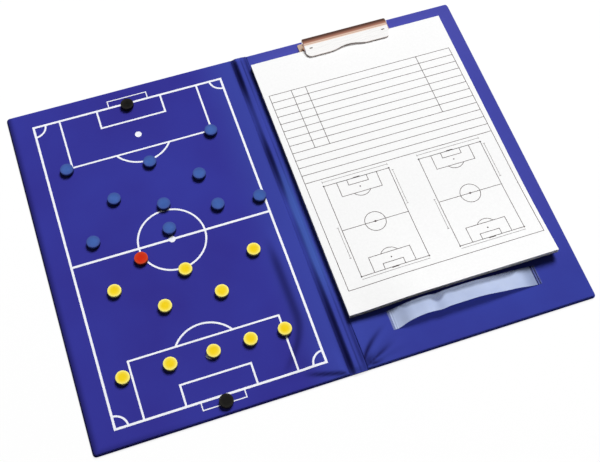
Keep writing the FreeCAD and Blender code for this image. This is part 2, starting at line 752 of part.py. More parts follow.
def clip_spring():
    """Coil round the pin: one leg bears on the foot plate, the other lies under the jaw's plate."""
    wire, radius = value(size("wire_diameter")), value(size("coil_radius"))
    pitch, leg = value(size("coil_pitch")), value(size("spring_leg"))
    steep = math.radians(value(size("leg_angle")))
    first = steep - math.pi / 2
    last = math.radians(90 + value(size("lever_angle"))) + 2 * math.pi * value(size("coil_turns"))
    start_x = -pitch * (last - first) / (4 * math.pi)

    def point(turn):
        return Vector(start_x + pitch * (turn - first) / (2 * math.pi),
                      radius * math.cos(turn), radius * math.sin(turn))

    def direction(turn):
        along = Vector(pitch / (2 * math.pi), -radius * math.sin(turn), radius * math.cos(turn))
        return along / along.Length

    steps = math.ceil((last - first) / (math.pi / 2))
    turns = [first + (last - first) * n / steps for n in range(steps + 1)]
    drop = value(total(PIN_RISE, minus(size("base_sheet")), minus(size("leg_gap"))))
    foot = (drop - radius * math.cos(steep) - wire / 2 * math.cos(steep)) / math.sin(steep)
    begin = point(first) - direction(first) * foot
    end = point(last) + direction(last) * leg
    edges = [Part.LineSegment(begin, point(first)).toShape()]
    for a, b in zip(turns, turns[1:]):
        edges += biarc(point(a), direction(a), point(b), direction(b))
    edges.append(Part.LineSegment(point(last), end).toShape())
    path = Part.Wire(edges)
    section = Part.Wire(Part.Circle(begin, direction(first), wire / 2).toShape())
    part = doc.addObject("Part::Feature", "clip_spring")
    part.Shape = path.makePipeShell([section], True, False)
    part.Placement = Placement(Vector(value(CLIP_X), value(PIN_Y), value(PIN_Z)), Rotation())
    finished(part, "clip_spring")
    per_turn = 48
    samples = [point(first + n * 2 * math.pi / per_turn)
               for n in range(int((last - first) * per_turn / (2 * math.pi)) + 1)]
    apart = min((p - q).Length for n, p in enumerate(samples) for q in samples[n + per_turn // 2:])
    print(f"clip_spring least gap to itself: {apart - wire:.3f} mm")
    print(f"clip_spring volume over section times length: "
          f"{part.Shape.Volume / (math.pi * wire ** 2 / 4 * path.Length):.4f}")


# Clear strip that holds a pen below the pad
def pen_strip():
    """Clear strip, welded down at both ends and arched between them."""
    reach = half(STRIP_LENGTH)
    x = total(RIGHT_EDGE, minus(size("strip_side_margin")), minus(reach))
    y = total(BOTTOM_EDGE, size("strip_bottom_margin"), half(size("strip_width")))
    body = new_body("pen_strip", LEAF_TOP, x, y)
    sketch = new_sketch(body, "XZ_Plane")
    thick, rise = size("strip_thickness"), size("strip_rise")
    foot = total(reach, minus(size("strip_tab")))
    over_x, over_z, wide, tight = ogee(foot, rise, half(thick))
    under_x, under_z, _, _ = ogee(foot, rise, minus(half(thick)))
    over_z, under_z = total(over_z, half(thick)), total(under_z, half(thick))
    outline(sketch, [
        (minus(reach), "0"), (minus(foot), "0"), (minus(under_x), under_z), (under_x, under_z),
        (foot, "0"), (reach, "0"), (reach, thick), (foot, thick), (over_x, over_z),
        (minus(over_x), over_z), (minus(foot), thick), (minus(reach), thick),
    ], {1: (wide, "left"), 2: (tight, "right"), 3: (wide, "left"),
        7: (tight, "right"), 8: (wide, "left"), 9: (tight, "right")})
    pad(body, sketch, size("strip_width"), both_ways=True)


for leaf in (LEFT, RIGHT):
    outer_skin(leaf)
boards()
inner_skin(LEFT)
inner_skin(RIGHT, RIVETS)
spine()
hinge_web("left_hinge_web", LEFT_FOLD)
hinge_web("right_hinge_web", RIGHT_FOLD)
pitch_markings()
for colour, places in (("blue", BLUE_PLACES), ("yellow", YELLOW_PLACES),
                       ("red", RED_PLACES), ("black", BLACK_PLACES)):
    markers(colour, places)
pad_pieces()
clip_base()
clip_lever()
clip_pin()
clip_rivets()
clip_spring()
pen_strip()
doc.recompute()

# Every object is sound before anything is written
for obj in doc.Objects:
    if "Invalid" in obj.State or "Error" in obj.State:
        raise RuntimeError(f"{obj.Label} did not build: {obj.State}")
for part in subparts:
    if part.Shape.isNull() or not part.Shape.isValid():
        raise RuntimeError(f"{part.Label} has no valid shape")
for part in subparts:
    part.Shape.exportStep(f"parts/{part.Label}.step")
print(f"{len(subparts)} sub-parts written")
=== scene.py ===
# %% [markdown]
# This lesson dresses a folding football tactics board. Its solid parts, their sizes and their joints come
# from a imported model, which is loaded first and stays as it is. Everything made here sits in that same
# frame, in metres; the solid that a piece replaces is hidden, and most pieces are set on the moving body that
# they ride on.

# %% Load the solid parts
import json
import math
import random

import bpy
from mathutils import Matrix, Vector

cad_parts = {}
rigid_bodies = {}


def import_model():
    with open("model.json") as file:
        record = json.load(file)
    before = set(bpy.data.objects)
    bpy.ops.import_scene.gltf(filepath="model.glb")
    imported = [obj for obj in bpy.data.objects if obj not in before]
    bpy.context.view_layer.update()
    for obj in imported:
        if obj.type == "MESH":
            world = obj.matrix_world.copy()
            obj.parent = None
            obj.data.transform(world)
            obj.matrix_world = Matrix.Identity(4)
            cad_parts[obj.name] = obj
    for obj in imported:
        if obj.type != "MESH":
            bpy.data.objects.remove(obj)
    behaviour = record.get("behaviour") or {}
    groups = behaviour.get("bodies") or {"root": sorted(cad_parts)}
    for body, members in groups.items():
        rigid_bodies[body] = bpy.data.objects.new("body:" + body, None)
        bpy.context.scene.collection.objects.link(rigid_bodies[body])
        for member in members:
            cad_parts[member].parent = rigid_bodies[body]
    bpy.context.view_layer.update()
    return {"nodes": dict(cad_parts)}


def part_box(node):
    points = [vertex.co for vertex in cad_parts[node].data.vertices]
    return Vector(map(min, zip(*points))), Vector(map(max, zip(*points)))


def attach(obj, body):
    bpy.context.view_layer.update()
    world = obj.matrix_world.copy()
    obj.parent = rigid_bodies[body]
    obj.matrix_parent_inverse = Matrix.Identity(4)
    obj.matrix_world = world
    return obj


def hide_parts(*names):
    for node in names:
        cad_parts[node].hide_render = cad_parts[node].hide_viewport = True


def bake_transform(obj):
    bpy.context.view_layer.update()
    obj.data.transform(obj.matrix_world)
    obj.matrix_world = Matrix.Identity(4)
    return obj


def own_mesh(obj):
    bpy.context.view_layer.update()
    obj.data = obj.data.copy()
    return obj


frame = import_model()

MM = 0.001

# %% [markdown]
# The camera stands where the photographer stood: a little left of the fold and in front, looking down at
# about sixty degrees. A camera's matrix holds its right, up and backward directions as columns, so writing
# those three directions out places it exactly, which is easier to check than three turning angles.

# %% Place the camera
PHOTO_WIDTH, PHOTO_FOCAL = 600, 1067.13
SENSOR_WIDTH = 36.0
right = Vector((0.9457, -0.3243, 0.0216))
up = Vector((0.2781, 0.8415, 0.4631))
look = Vector((0.1684, 0.4320, -0.8860))
stand = Vector((-0.1731, -0.4730, 0.9101))


def new_object(name, data):
    """A new object in the scene that shows some data."""
    made = bpy.data.objects.new(name, data)
    bpy.context.scene.collection.objects.link(made)
    return made


camera_data = bpy.data.cameras.new("studio_camera")
camera_data.sensor_width = SENSOR_WIDTH
camera_data.lens = PHOTO_FOCAL / PHOTO_WIDTH * SENSOR_WIDTH
camera = new_object("studio_camera", camera_data)
camera.matrix_world = Matrix.Translation(stand) @ Matrix((right, up, -look)).transposed().to_4x4()
bpy.context.scene.camera = camera
print("lens:", round(camera_data.lens, 2), "mm")

# %% [markdown]
# Every finish below is built from shader nodes. Wiring them by hand is slow to read, so one small class
# wraps a node's output: two outputs can then be added or multiplied with ordinary Python operators, and
# each operator adds one Math node. A second class holds a node tree and adds any other node by its type, and
# a third is a material, with the few recipes that the finishes below share.


# %% Write shader maths as Python
class Shade:
    """One output of a shader node, with Python's operators."""

    def __init__(self, finish, socket):
        self.finish, self.socket = finish, socket

    def math(self, operation, first, second=None):
        inputs = {0: first} if second is None else {0: first, 1: second}
        return self.finish.node("ShaderNodeMath", {"operation": operation}, inputs)

    def __add__(self, other): return self.math("ADD", self, other)
    def __radd__(self, other): return self.math("ADD", other, self)
    def __sub__(self, other): return self.math("SUBTRACT", self, other)
    def __rsub__(self, other): return self.math("SUBTRACT", other, self)
    def __mul__(self, other): return self.math("MULTIPLY", self, other)
    def __rmul__(self, other): return self.math("MULTIPLY", other, self)
    def __abs__(self): return self.math("ABSOLUTE", self)
    def at_least(self, other): return self.math("MAXIMUM", self, other)


class Nodes:
    """The node tree of a material or a world: its main shader, and one way to add any other node."""

    def __init__(self, owner, shader):
        owner.use_nodes = True
        self.tree = owner.node_tree
        self.shader = self.tree.nodes[shader]

    def node(self, kind, settings=None, inputs=None, output=0):
        made = self.tree.nodes.new(kind)
        for name, setting in (settings or {}).items():
            setattr(made, name, setting)
        for name, given in (inputs or {}).items():
            if isinstance(given, Shade):
                self.tree.links.new(given.socket, made.inputs[name])
            else:
                made.inputs[name].default_value = given
        return Shade(self, made.outputs[output])

    def set(self, socket, shade):
        self.tree.links.new(shade.socket, self.shader.inputs[socket])


class Finish(Nodes):
    """A procedural material."""

    def __init__(self, name, **constants):
        self.material = bpy.data.materials.new(name)
        super().__init__(self.material, "Principled BSDF")
        for socket, number in constants.items():
            self.shader.inputs[socket.replace("_", " ")].default_value = number
        self.place = self.node("ShaderNodeTexCoord", output="Object")

    def noise(self, scale, detail=2.0, rough=0.5, vector=None):
        inputs = {"Vector": vector or self.place, "Scale": scale, "Detail": detail, "Roughness": rough}
        return self.node("ShaderNodeTexNoise", None, inputs, "Fac")

    def stretched(self, factors):
        return self.node("ShaderNodeVectorMath", {"operation": "MULTIPLY"}, {0: self.place, 1: factors})

    def axis(self, name):
        return self.node("ShaderNodeSeparateXYZ", None, {0: self.place}, name)

    def blend(self, amount, first, second):
        """A colour between two others, each a shade or three numbers; amount runs from 0 to 1."""
        ends = [given if isinstance(given, Shade) else (*given, 1.0) for given in (first, second)]
        return self.node("ShaderNodeMix", {"data_type": "RGBA"}, {0: amount, 6: ends[0], 7: ends[1]}, 2)

    def spread(self, value, low, high):
        """A noise value stretched between two numbers."""
        return self.node("ShaderNodeMapRange", None, {
            "Value": value, "From Min": 0.3, "From Max": 0.7, "To Min": low, "To Max": high})

    def mottle(self, noise, first, second):
        """A colour that wanders between two others with a noise."""
        return self.blend(self.spread(noise, 0.0, 1.0), first, second)

    def ramp(self, value, low, high):
        """Nought at low, one at high, smooth between and level outside."""
        return self.node("ShaderNodeMapRange", {"interpolation_type": "SMOOTHSTEP"}, {
            "Value": value, "From Min": low, "From Max": high})

    def band(self, value, middle, inner, outer):
        """One within inner of a middle, nought beyond outer."""
        return 1 - self.ramp(abs(value - middle), inner, outer)

    def rough(self, noise, low, high):
        self.set("Roughness", self.spread(noise, low, high))

    def bump(self, height, depth):
        self.set("Normal", self.node("ShaderNodeBump", None, {
            "Height": height, "Distance": depth, "Strength": 1.0}, "Normal"))


print("shader helpers ready")

# %% [markdown]
# The cover is soft PVC sheet: an even, strong blue with a very fine leather-like grain and a low sheen that
# changes a little from place to place. Colour and roughness each follow their own slow noise, so that no
# large area is quite flat, and a fine noise feeds the bump for the grain. A mask along X makes it lighter and
# greener beside the fold, a narrower one paints a highlight along the middle of the spine's ridge, and the
# clip leaf gets a painted sheen towards its top and its free edge. Shade is painted darker into the creases,
# the grooves and along some edges, with a value stored on the mesh, which is nought elsewhere.

# %% Mix the blue vinyl
PALE_BLUE, DEEP_BLUE = (0.036, 0.040, 0.308), (0.032, 0.028, 0.245)
FOLD_SIDE_BLUE, RIDGE_HIGHLIGHT_BLUE = (0.042, 0.059, 0.333), (0.050, 0.095, 0.378)
PAINTED_SHEEN_BLUE, PAINTED_SHADE_BLUE = (0.062, 0.067, 0.345), (0.006, 0.005, 0.045)
FOLD_MIDDLE, RIDGE_MIDDLE, HIGHLIGHT_MIDDLE = 4.0 * MM, 3.2 * MM, -30.0 * MM


def vinyl(name, tint, painted_sheen=0.0):
    sheet = Finish(name, IOR=1.45, Specular_IOR_Level=0.025)
    across, along = sheet.axis("X"), sheet.axis("Y")
    deep, pale = ([t * c for t, c in zip(tint, colour)] for colour in (DEEP_BLUE, PALE_BLUE))
    even = sheet.mottle(sheet.noise(9.0, 3.0), deep, pale)
    # Lighter and greener beside the fold.
    fold_side = sheet.band(across, FOLD_MIDDLE, 0.010, 0.060)
    even = sheet.blend(fold_side * 0.8, even, FOLD_SIDE_BLUE)
    # A painted highlight along the middle of the spine's ridge.
    highlight_along = sheet.band(along, HIGHLIGHT_MIDDLE, 0.030, 0.090)
    ridge = sheet.band(across, RIDGE_MIDDLE, 0.0020, 0.0058)
    even = sheet.blend(highlight_along * ridge * 0.9, even, RIDGE_HIGHLIGHT_BLUE)
    # A painted sheen towards the top and the free edge of the clip leaf, standing in for the lamp's
    # reflection.
    upper = sheet.ramp(along, -0.16, -0.05) * 0.6 + sheet.ramp(along, 0.05, 0.17) * 0.4
    outer = sheet.ramp(across, -0.02, 0.06)
    even = sheet.blend(upper * outer * painted_sheen, even, PAINTED_SHEEN_BLUE)
    # Shade painted darker into creases, grooves and along some edges, from a value stored on each vertex.
    painted_crease_shade = sheet.node("ShaderNodeAttribute", {"attribute_name": "painted_crease_shade"}, output="Fac")
    sheet.set("Base Color", sheet.blend(painted_crease_shade, even, PAINTED_SHADE_BLUE))
    worn = sheet.noise(55.0, 4.0, 0.6)
    sheet.rough(worn, 0.34, 0.46)
    grain = sheet.noise(2600.0, 2.0, 0.55) * 0.6 + sheet.noise(900.0, 2.0) * 0.4
    sheet.bump(grain, 0.00006)
    return sheet.material


VINYLS = {
    "left": vinyl("blue_vinyl_pitch_leaf", (1.0, 1.0, 1.0)),
    "right": vinyl("blue_vinyl_clip_leaf", (1.06, 1.38, 1.10), 1.0),
    "spine": vinyl("blue_vinyl_spine", (1.0, 1.08, 1.0)),
}
print("mixed", len(VINYLS), "shades of vinyl")

# %% [markdown]
# Each leaf is a stiff board inside a vinyl cover. The inner sheet is drawn over the board, rolls down round
# its edge and is welded to the outer sheet along a flat lip. One mesh makes the whole cover: a fine grid for
# the top, whose rim is extruded outwards and down, step by step, through the roll, the wall and the lip.
# The grid is fine enough to carry the shallow folds that the vinyl has taken.


# %% Tools for a sheet drawn over a board
def deselect():
    bpy.ops.object.select_all(action="DESELECT")


def edit_mode():
    bpy.ops.object.mode_set(mode="EDIT")


def object_mode():
    bpy.ops.object.mode_set(mode="OBJECT")


def select_mesh():
    bpy.ops.mesh.select_all(action="SELECT")


def extrude(move):
    bpy.ops.mesh.extrude_region_move(TRANSFORM_OT_translate={"value": move})


def named(name):
    """The active object, which gets a name with its mesh."""
    piece = bpy.context.object
    piece.name = piece.data.name = name
    return piece


def dress(piece, finish):
    """Gives a piece one finish in place of any that it has."""
    piece.data.materials.clear()
    piece.data.materials.append(finish)


def smooth(angle):
    """Shades the active piece smooth, except along edges sharper than an angle in degrees."""
    bpy.ops.object.shade_smooth_by_angle(angle=math.radians(angle))


def face_outwards():
    """Turns every face of the mesh in edit mode outwards, and leaves edit mode."""
    select_mesh()
    bpy.ops.mesh.normals_make_consistent(inside=False)
    object_mode()


def start_grid(name, low, high, across, along):
    """A flat grid between two corners, left in edit mode with everything selected."""
    deselect()
    bpy.ops.mesh.primitive_grid_add(x_subdivisions=across, y_subdivisions=along, size=1)
    piece = named(name)
    edit_mode()
    bpy.ops.transform.resize(value=(high[0] - low[0], high[1] - low[1], 1))
    middle = [(a + b) / 2 for a, b in zip(low, high)]
    bpy.ops.transform.translate(value=middle)
    return piece


class Rim:
    """The selected outline of a sheet, which is extruded outwards and down in steps."""

    def __init__(self, low, high):
        self.low, self.high = Vector(low), Vector(high)
        bpy.ops.mesh.region_to_loop()

    def step(self, sides, drop):
        """Extrudes by outsets on the -X, +X, -Y and +Y sides, and down."""
        extrude((0, 0, -drop))
        scale, centre = [1, 1, 1], [0, 0, 0]
        for axis in (0, 1):
            out_low, out_high = sides[2 * axis], sides[2 * axis + 1]
            grown = out_low + out_high
            size = self.high[axis] - self.low[axis]
            if abs(grown) > 1e-9:
                scale[axis] = (size + grown) / size
                centre[axis] = self.low[axis] + out_low * size / grown
            self.low[axis] -= out_low
            self.high[axis] += out_high
        bpy.ops.transform.resize(value=scale, center_override=centre)


def close_sheet(piece, finish, angle=35):
    """Closes the underside, turns every face outwards and shades the sheet smooth."""
    bpy.ops.mesh.edge_face_add()
    face_outwards()
    piece.data.materials.append(finish)
    smooth(angle)


def reshape(piece, rule):
    """Moves every vertex of a finished mesh by a rule on its place."""
    for vertex in piece.data.vertices:
        vertex.co = rule(vertex.co)
    piece.data.update()


print("sheet tools ready")

# %% [markdown]
# Soft sheet never lies quite flat. On the pitch leaf it has lifted off the board beside the spine: the lift
# starts at a long buckle along the touchline and ends in a sharp crease at the bottom. On the clip leaf
# creases fan out of the corner by the spine. Each is a smooth step or hump that fades away from its line,
# worked out in millimetres. A second function says how much shade to paint into the colour, in the creases
# and along some edges. The spine bulges unevenly along its length: a short table of bulges, joined smoothly,
# gives that rhythm. It stands here because the groove beside the spine is shaded by the same table.

# %% Shape the folds of the pitch leaf
HALF_LENGTH, LEFT_EDGE = 183.0, -241.0


def hump(distance, width):
    return math.exp(-(distance / width) ** 2)


def fade(value, low, high):
    """Nought below low, one above high, smooth between."""
    share = min(max((value - low) / (high - low), 0.0), 1.0)
    return share * share * (3 - 2 * share)


def along_table(table, place):
    """A smooth curve through a short table of places and values."""
    places, values = zip(*table)
    place = min(max(place, places[0]), places[-1])
    n = max(k for k in range(len(table) - 1) if places[k] <= place)
    slopes = []
    for k in (n, n + 1):
        before, after = max(k - 1, 0), min(k + 1, len(table) - 1)
        slopes.append((values[after] - values[before]) / (places[after] - places[before]))
    gap = places[n + 1] - places[n]
    t = (place - places[n]) / gap
    curve = values[n] + (values[n + 1] - values[n]) * t * t * (3 - 2 * t)
    return curve + gap * t * (1 - t) * (slopes[0] * (1 - t) - slopes[1] * t)


def buckle_line(y):
    """X of the long buckle, which swings away from the spine towards the bottom."""
    return -33.0 - 0.02 * (y + 85.0) - 0.0105 * max(-110.0 - y, 0.0) ** 2


def bottom_line(x):
    """Y of the crease near the bottom edge."""
    return -170.5 - 0.27 * (x + 40.0)


def left_fold_height(x, y):
    """Height that the pitch leaf's sheet stands off its board."""
    start = buckle_line(y)
    strength = fade(y, -174.0, -138.0) * (1 - fade(y, -60.0, -12.0))
    run_out = max(1 - max(x - start - 4.5, 0.0) / (-6.0 - start), 0.0)
    lift = 2.1 * strength * fade(x - start, -4.5, 4.5) * run_out
    above = y - bottom_line(x)
    corner = fade(x, -46.0, -32.0) * (1 - fade(x, -13.0, -6.0)) * fade(above, -2.6, 1.0)
    corner *= 1 - fade(above, 3.0, 34.0)
    slow = 0.10 * (math.sin(x / 31.0 + 0.7) * math.sin(y / 43.0 + 0.4) - 1.0)
    return lift + 1.5 * corner + slow


BULGES = [(-183, 0.70), (-172, 1.00), (-150, 0.95), (-120, 0.90), (-90, 0.55), (-60, 0.16), (-30, 0.20),
          (0, 0.04), (30, 0.62), (60, 0.88), (90, 0.36), (120, 0.36), (150, 1.00), (172, 1.00), (183, 0.80)]


def groove(x, y):
    """Strength of the shade painted into the groove where the bulging spine meets the pitch leaf."""
    return 0.84 * along_table(BULGES, y) * fade(x, -7.6, -3.4) * (1 - fade(x, -1.6, 2.2))


def left_painted_shade(x, y):
    """Strength of the painted shade on the pitch leaf, from nought to one, in creases, groove and edges."""
    strength = fade(y, -172.0, -140.0) * (1 - fade(y, -62.0, -25.0))
    buckle = 0.52 * strength * hump(x - buckle_line(y) - 0.5, 4.2)
    bottom = 0.78 * hump(y - bottom_line(x) + 0.9, 1.7) * fade(x, -48.0, -26.0) * (1 - fade(x, -10.0, -5.0))
    # Painted shade along the bottom end and the left edge of the leaf, where its side wall is in shadow.
    near_end = 0.34 * (1 - fade(y + HALF_LENGTH, 1.5, 7.0)) * (1 - fade(x, -205.0, -130.0))
    edge = max(0.66 * (1 - fade(x - LEFT_EDGE, 1.0, 7.5)), near_end)
    return max(buckle, bottom, groove(x, y), edge)


print("lift beside the spine:", round(left_fold_height(-28.0, -90.0), 2), "mm")

# %% [markdown]
# On the clip leaf the creases are lines through one point near the bottom of the spine. Working in a distance
# and an angle about that point keeps each of them to one term.


# %% Shape the folds of the clip leaf
def fan(x, y):
    """Distance and angle about the corner that the creases leave."""
    across, along = x - 9.0, y + 181.0
    return math.hypot(across, along), math.degrees(math.atan2(along, across))


def long_crease(x, y):
    """Distance across the longest of the creases, which curves towards the pen strip."""
    up = y + 178.0
    return x - (10.0 + 0.35 * up + 0.0205 * up * up) if up > 0 else 99.0


def right_fold_height(x, y):
    """Height that the clip leaf's sheet stands off its board."""
    reach, turn = fan(x, y)
    spread = fade(reach, 3.0, 12.0) * (1 - fade(reach, 24.0, 52.0))
    lift = 1.5 * hump(turn - 41.0, 9.0) + 1.0 * hump(turn - 17.0, 6.0) + 1.2 * hump(turn - 82.0, 13.0)
    slow = 0.10 * (math.sin(x / 37.0 + 1.1) * math.sin(y / 51.0 + 0.2) - 1.0)
    return lift * spread + slow


def right_painted_shade(x, y):
    """Strength of the painted shade in the creases of the clip leaf, from nought to one."""
    reach, turn = fan(x, y)
    ends = fade(reach, 1.0, 5.0)
    long = 0.92 * hump(long_crease(x, y), 1.6 + 0.06 * reach) * (1 - fade(reach, 16.0, 52.0)) * ends
    short = 0.85 * hump(turn - 25.5, 5.0) * (1 - fade(reach, 16.0, 42.0)) * ends
    low = 0.85 * hump(turn - 8.0, 6.0) * (1 - fade(reach, 8.0, 24.0)) * ends
    knot = 0.62 * hump(reach - 8.0, 7.5) * fade(turn, 4.0, 20.0) * (1 - fade(turn, 70.0, 96.0))
    return max(long, short, low, knot)


print("lift between two creases:", round(right_fold_height(24.0, -167.0), 2), "mm")

# %% [markdown]
# The same recipe makes both leaves; only the side of the fold differs. The wall stands a little inside the
# outline on three sides, where the weld lip runs, and closer to it beside the fold, where the sheet runs on
# into the spine. Two short tables of steps, outwards and down, give the lip and the cut edges of both sheets.
# Corners are rounded by pulling the square rings of the grid onto circles about a corner point, which keeps
# them concentric.

# %% Draw the vinyl over both boards
LIP, ROLL, ROLL_DROP = 1.0 * MM, 0.9 * MM, 1.3 * MM
FOLD_LIP = {"left": 0.6 * MM, "right": 0.1 * MM}
FOLD_ROLL = {"left": 1.9 * MM, "right": 0.8 * MM}
CORNER = 2.4 * MM
TOP, LIP_TOP = 3.4 * MM, 1.0 * MM
CELL = 1.8 * MM
ROLL_STEPS = 6
LIP_PROFILE = [(0.25, 0.22), (0.45, 0.0), (0.12, -0.20), (0.18, 0.10)]
EDGE_PROFILE = [(0.0, 0.34), (-0.12, 0.08), (0.12, 0.08), (0.0, 0.30), (-0.08, 0.08)]


def corners(box):
    """The low and the high corner of a box."""
    return [Vector(corner) for corner in box]


def store_value(piece, name, rule):
    """Writes a rule of X and Y in millimetres at each vertex, for a finish to read."""
    mark = piece.data.attributes.new(name, "FLOAT", "POINT")
    for vertex, slot in zip(piece.data.vertices, mark.data):
        slot.value = rule(vertex.co.x / MM, vertex.co.y / MM)


def leaf_cover(side, fold_height, painted_crease_shade):
    low, high = corners(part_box(side + "_inner_skin"))
    lips, rolls = [LIP] * 4, [ROLL] * 4
    fold = 1 if side == "left" else 0
    lips[fold], rolls[fold] = FOLD_LIP[side], FOLD_ROLL[side]
    inset = [lip + roll for lip, roll in zip(lips, rolls)]
    flat_low = (low.x + inset[0], low.y + inset[2], TOP)
    flat_high = (high.x - inset[1], high.y - inset[3], TOP)
    cells = [round((b - a) / CELL) for a, b in zip(flat_low[:2], flat_high[:2])]
    piece = start_grid(side + "_leaf_cover", flat_low, flat_high, *cells)
    rim = Rim(flat_low, flat_high)
    for n in range(ROLL_STEPS):
        before, after = (math.pi / 2 * k / ROLL_STEPS for k in (n, n + 1))
        out = math.sin(after) - math.sin(before)
        rim.step([roll * out for roll in rolls], ROLL_DROP * (math.cos(before) - math.cos(after)))
    rim.step([0] * 4, TOP - ROLL_DROP - LIP_TOP)
    for share, drop in LIP_PROFILE:
        rim.step([share * lip for lip in lips], drop * MM)
    for out, drop in EDGE_PROFILE:
        rim.step([out * MM] * 4, drop * MM)
    close_sheet(piece, VINYLS[side])
    free = -1 if side == "left" else 1
    corner_x = (low.x + LIP + CORNER) if side == "left" else (high.x - LIP - CORNER)
    corner_y = high.y - LIP - CORNER

    def rule(place):
        x, y, z = place
        lift = fold_height(x / MM, y / MM) * MM * fade(z, LIP_TOP + 0.4 * MM, TOP)
        beyond_x, beyond_y = (x - corner_x) * free, abs(y) - corner_y
        if beyond_x > 0 and beyond_y > 0:
            pull = max(beyond_x, beyond_y) / math.hypot(beyond_x, beyond_y)
            x = corner_x + free * beyond_x * pull
            y = math.copysign(corner_y + beyond_y * pull, y)
        return Vector((x, y, z + lift))

    reshape(piece, rule)
    # The shade painted into the vinyl's colour at each vertex.
    store_value(piece, "painted_crease_shade", painted_crease_shade)
    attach(piece, side + "_leaf")
    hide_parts(side + "_inner_skin", side + "_outer_skin")
    return piece


left_cover = leaf_cover("left", left_fold_height, left_painted_shade)
right_cover = leaf_cover("right", right_fold_height, right_painted_shade)
print("cover faces:", len(left_cover.data.polygons), len(right_cover.data.polygons))

# %% [markdown]
# Between the leaves the two sheets are welded into a spine with a bare groove on each side. The spine is two
# soft hollow ridges, side by side, and with the folder open the slack sheet buckles: it bulges in some places
# along its length and lies nearly flat in others, as the table of bulges above says. Its weld line, the
# groove and its far flank get painted shade from the stored value as well. The grooves are what bends when
# the folder closes, and each is its own strip.

# %% Weld the spine
SPINE_LOW, SPINE_HIGH = corners(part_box("spine_outer_skin"))
RIDGE, BULGE, WELD_LINE = 0.7, 3.6, 4.9


def spine_height(x, y):
    """Height in millimetres of the spine's sheet over the bare strip."""
    swell = along_table(BULGES, y)
    flank = 0.5 * fade(x, -4.5, 1.2) + 0.5 * fade(x, -3.2, 1.2)
    back = 1 - 0.10 * fade(x, 2.5, 7.4) - 0.36 * fade(x, 7.2, 10.4)
    weld = (0.20 + 0.30 * swell) * hump(x - WELD_LINE, 1.0)
    end = fade(HALF_LENGTH - abs(y), 0.2, 5.0)
    return max((RIDGE + BULGE * swell) * flank * back - weld, 0.0) * (0.45 + 0.55 * end)


def spine_painted_shade(x, y):
    """Strength of the painted shade on the spine: the groove, the weld line and the far flank."""
    swell = along_table(BULGES, y) ** 2
    weld = 0.36 * swell * hump(x - WELD_LINE - 0.3, 1.0)
    flank = 0.60 * swell * hump(x - 9.9, 2.4)
    return max(groove(x, y), weld, flank)


def spine_strip(name, low_x, high_x, cells):
    """A strip of the welded sheets, raised by the spine's heights."""
    low = (low_x, SPINE_LOW.y, LIP_TOP)
    high = (high_x, SPINE_HIGH.y, LIP_TOP)
    piece = start_grid(name, low, high, cells, 183)
    rim = Rim(low, high)
    for _ in range(2):
        rim.step([0] * 4, LIP_TOP / 2)
    close_sheet(piece, VINYLS["spine"], 60)
    top = 0.9 * LIP_TOP
    reshape(piece, lambda p: Vector(
        (p.x, p.y, p.z + (spine_height(p.x / MM, p.y / MM) * MM if p.z > top else 0.0))))
    # The shade painted into the spine's colour at each vertex.
    store_value(piece, "painted_crease_shade", spine_painted_shade)
    return piece


spine_cover = spine_strip("spine_cover", SPINE_LOW.x, SPINE_HIGH.x, 40)
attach(spine_cover, "spine")
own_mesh(spine_cover)
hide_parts("spine_inner_skin", "spine_outer_skin")

for side, first, second in (("left", "left_leaf", "spine"), ("right", "spine", "right_leaf")):
    low, high = corners(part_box(side + "_hinge_web"))
    web = spine_strip(side + "_fold_strip", low.x, high.x, 10)
    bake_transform(web)
    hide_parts(side + "_hinge_web")
print("spine from", round(SPINE_LOW.x / MM, 1), "to", round(SPINE_HIGH.x / MM, 1), "mm")

# %% [markdown]
# The pitch is screen-printed, so its lines lie on the vinyl and follow its folds. The solid part already
# has every line in its right place. A copy of it is cut across at close steps, so that it can bend, and is
# then lifted by the same fold heights as the sheet below it.


# %% Print the pitch
def copy_of(node, name):
    """A merged copy of a solid part, as a piece of its own."""
    deselect()
    piece = new_object(name, frame["nodes"][node].data.copy())
    piece.data.name = name
    piece.select_set(True)
    bpy.context.view_layer.objects.active = piece
    edit_mode()
    select_mesh()
    bpy.ops.mesh.remove_doubles(threshold=1e-6)
    object_mode()
    return piece


def follow(piece, heights, cuts_x, cuts_y):
    """Cuts the active piece across at some X and Y, in millimetres, and raises it by a rule of heights."""
    edit_mode()
    for place, normal in [((x, 0, 0), (1, 0, 0)) for x in cuts_x] + [((0, y, 0), (0, 1, 0)) for y in cuts_y]:
        select_mesh()
        bpy.ops.mesh.bisect(plane_co=[c * MM for c in place], plane_no=normal)
    object_mode()
    reshape(piece, lambda p: Vector((p.x, p.y, p.z + heights(p.x / MM, p.y / MM) * MM)))


pitch_print = copy_of("pitch_markings", "pitch_print")
follow(pitch_print, left_fold_height, range(-216, -20, 4), range(-172, 172, 4))

white_ink = Finish("white_screen_ink", Specular_IOR_Level=0.4)
patchy = white_ink.noise(160.0, 4.0, 0.6)
white_ink.set("Base Color", white_ink.mottle(patchy, (0.80, 0.82, 0.90), (0.90, 0.91, 0.95)))
white_ink.rough(white_ink.noise(400.0), 0.38, 0.55)
dress(pitch_print, white_ink.material)
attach(pitch_print, "left_leaf")
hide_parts("pitch_markings")
print("printed faces:", len(pitch_print.data.polygons))

# %% [markdown]
# The markers are small moulded caps with a disc magnet inside. One is modelled from a cylinder: its upper
# edge is bevelled round, its top is inset and dished very slightly, and the magnet is a second, smaller disc
# set into its underside. The colour fades out down the wall into near black, which is painted shade there,
# and a stored value changes its tint along the rim. The other markers are copies of it.

# %% Mould one marker
WALL_SHADE_COLOUR = (0.012, 0.009, 0.008)


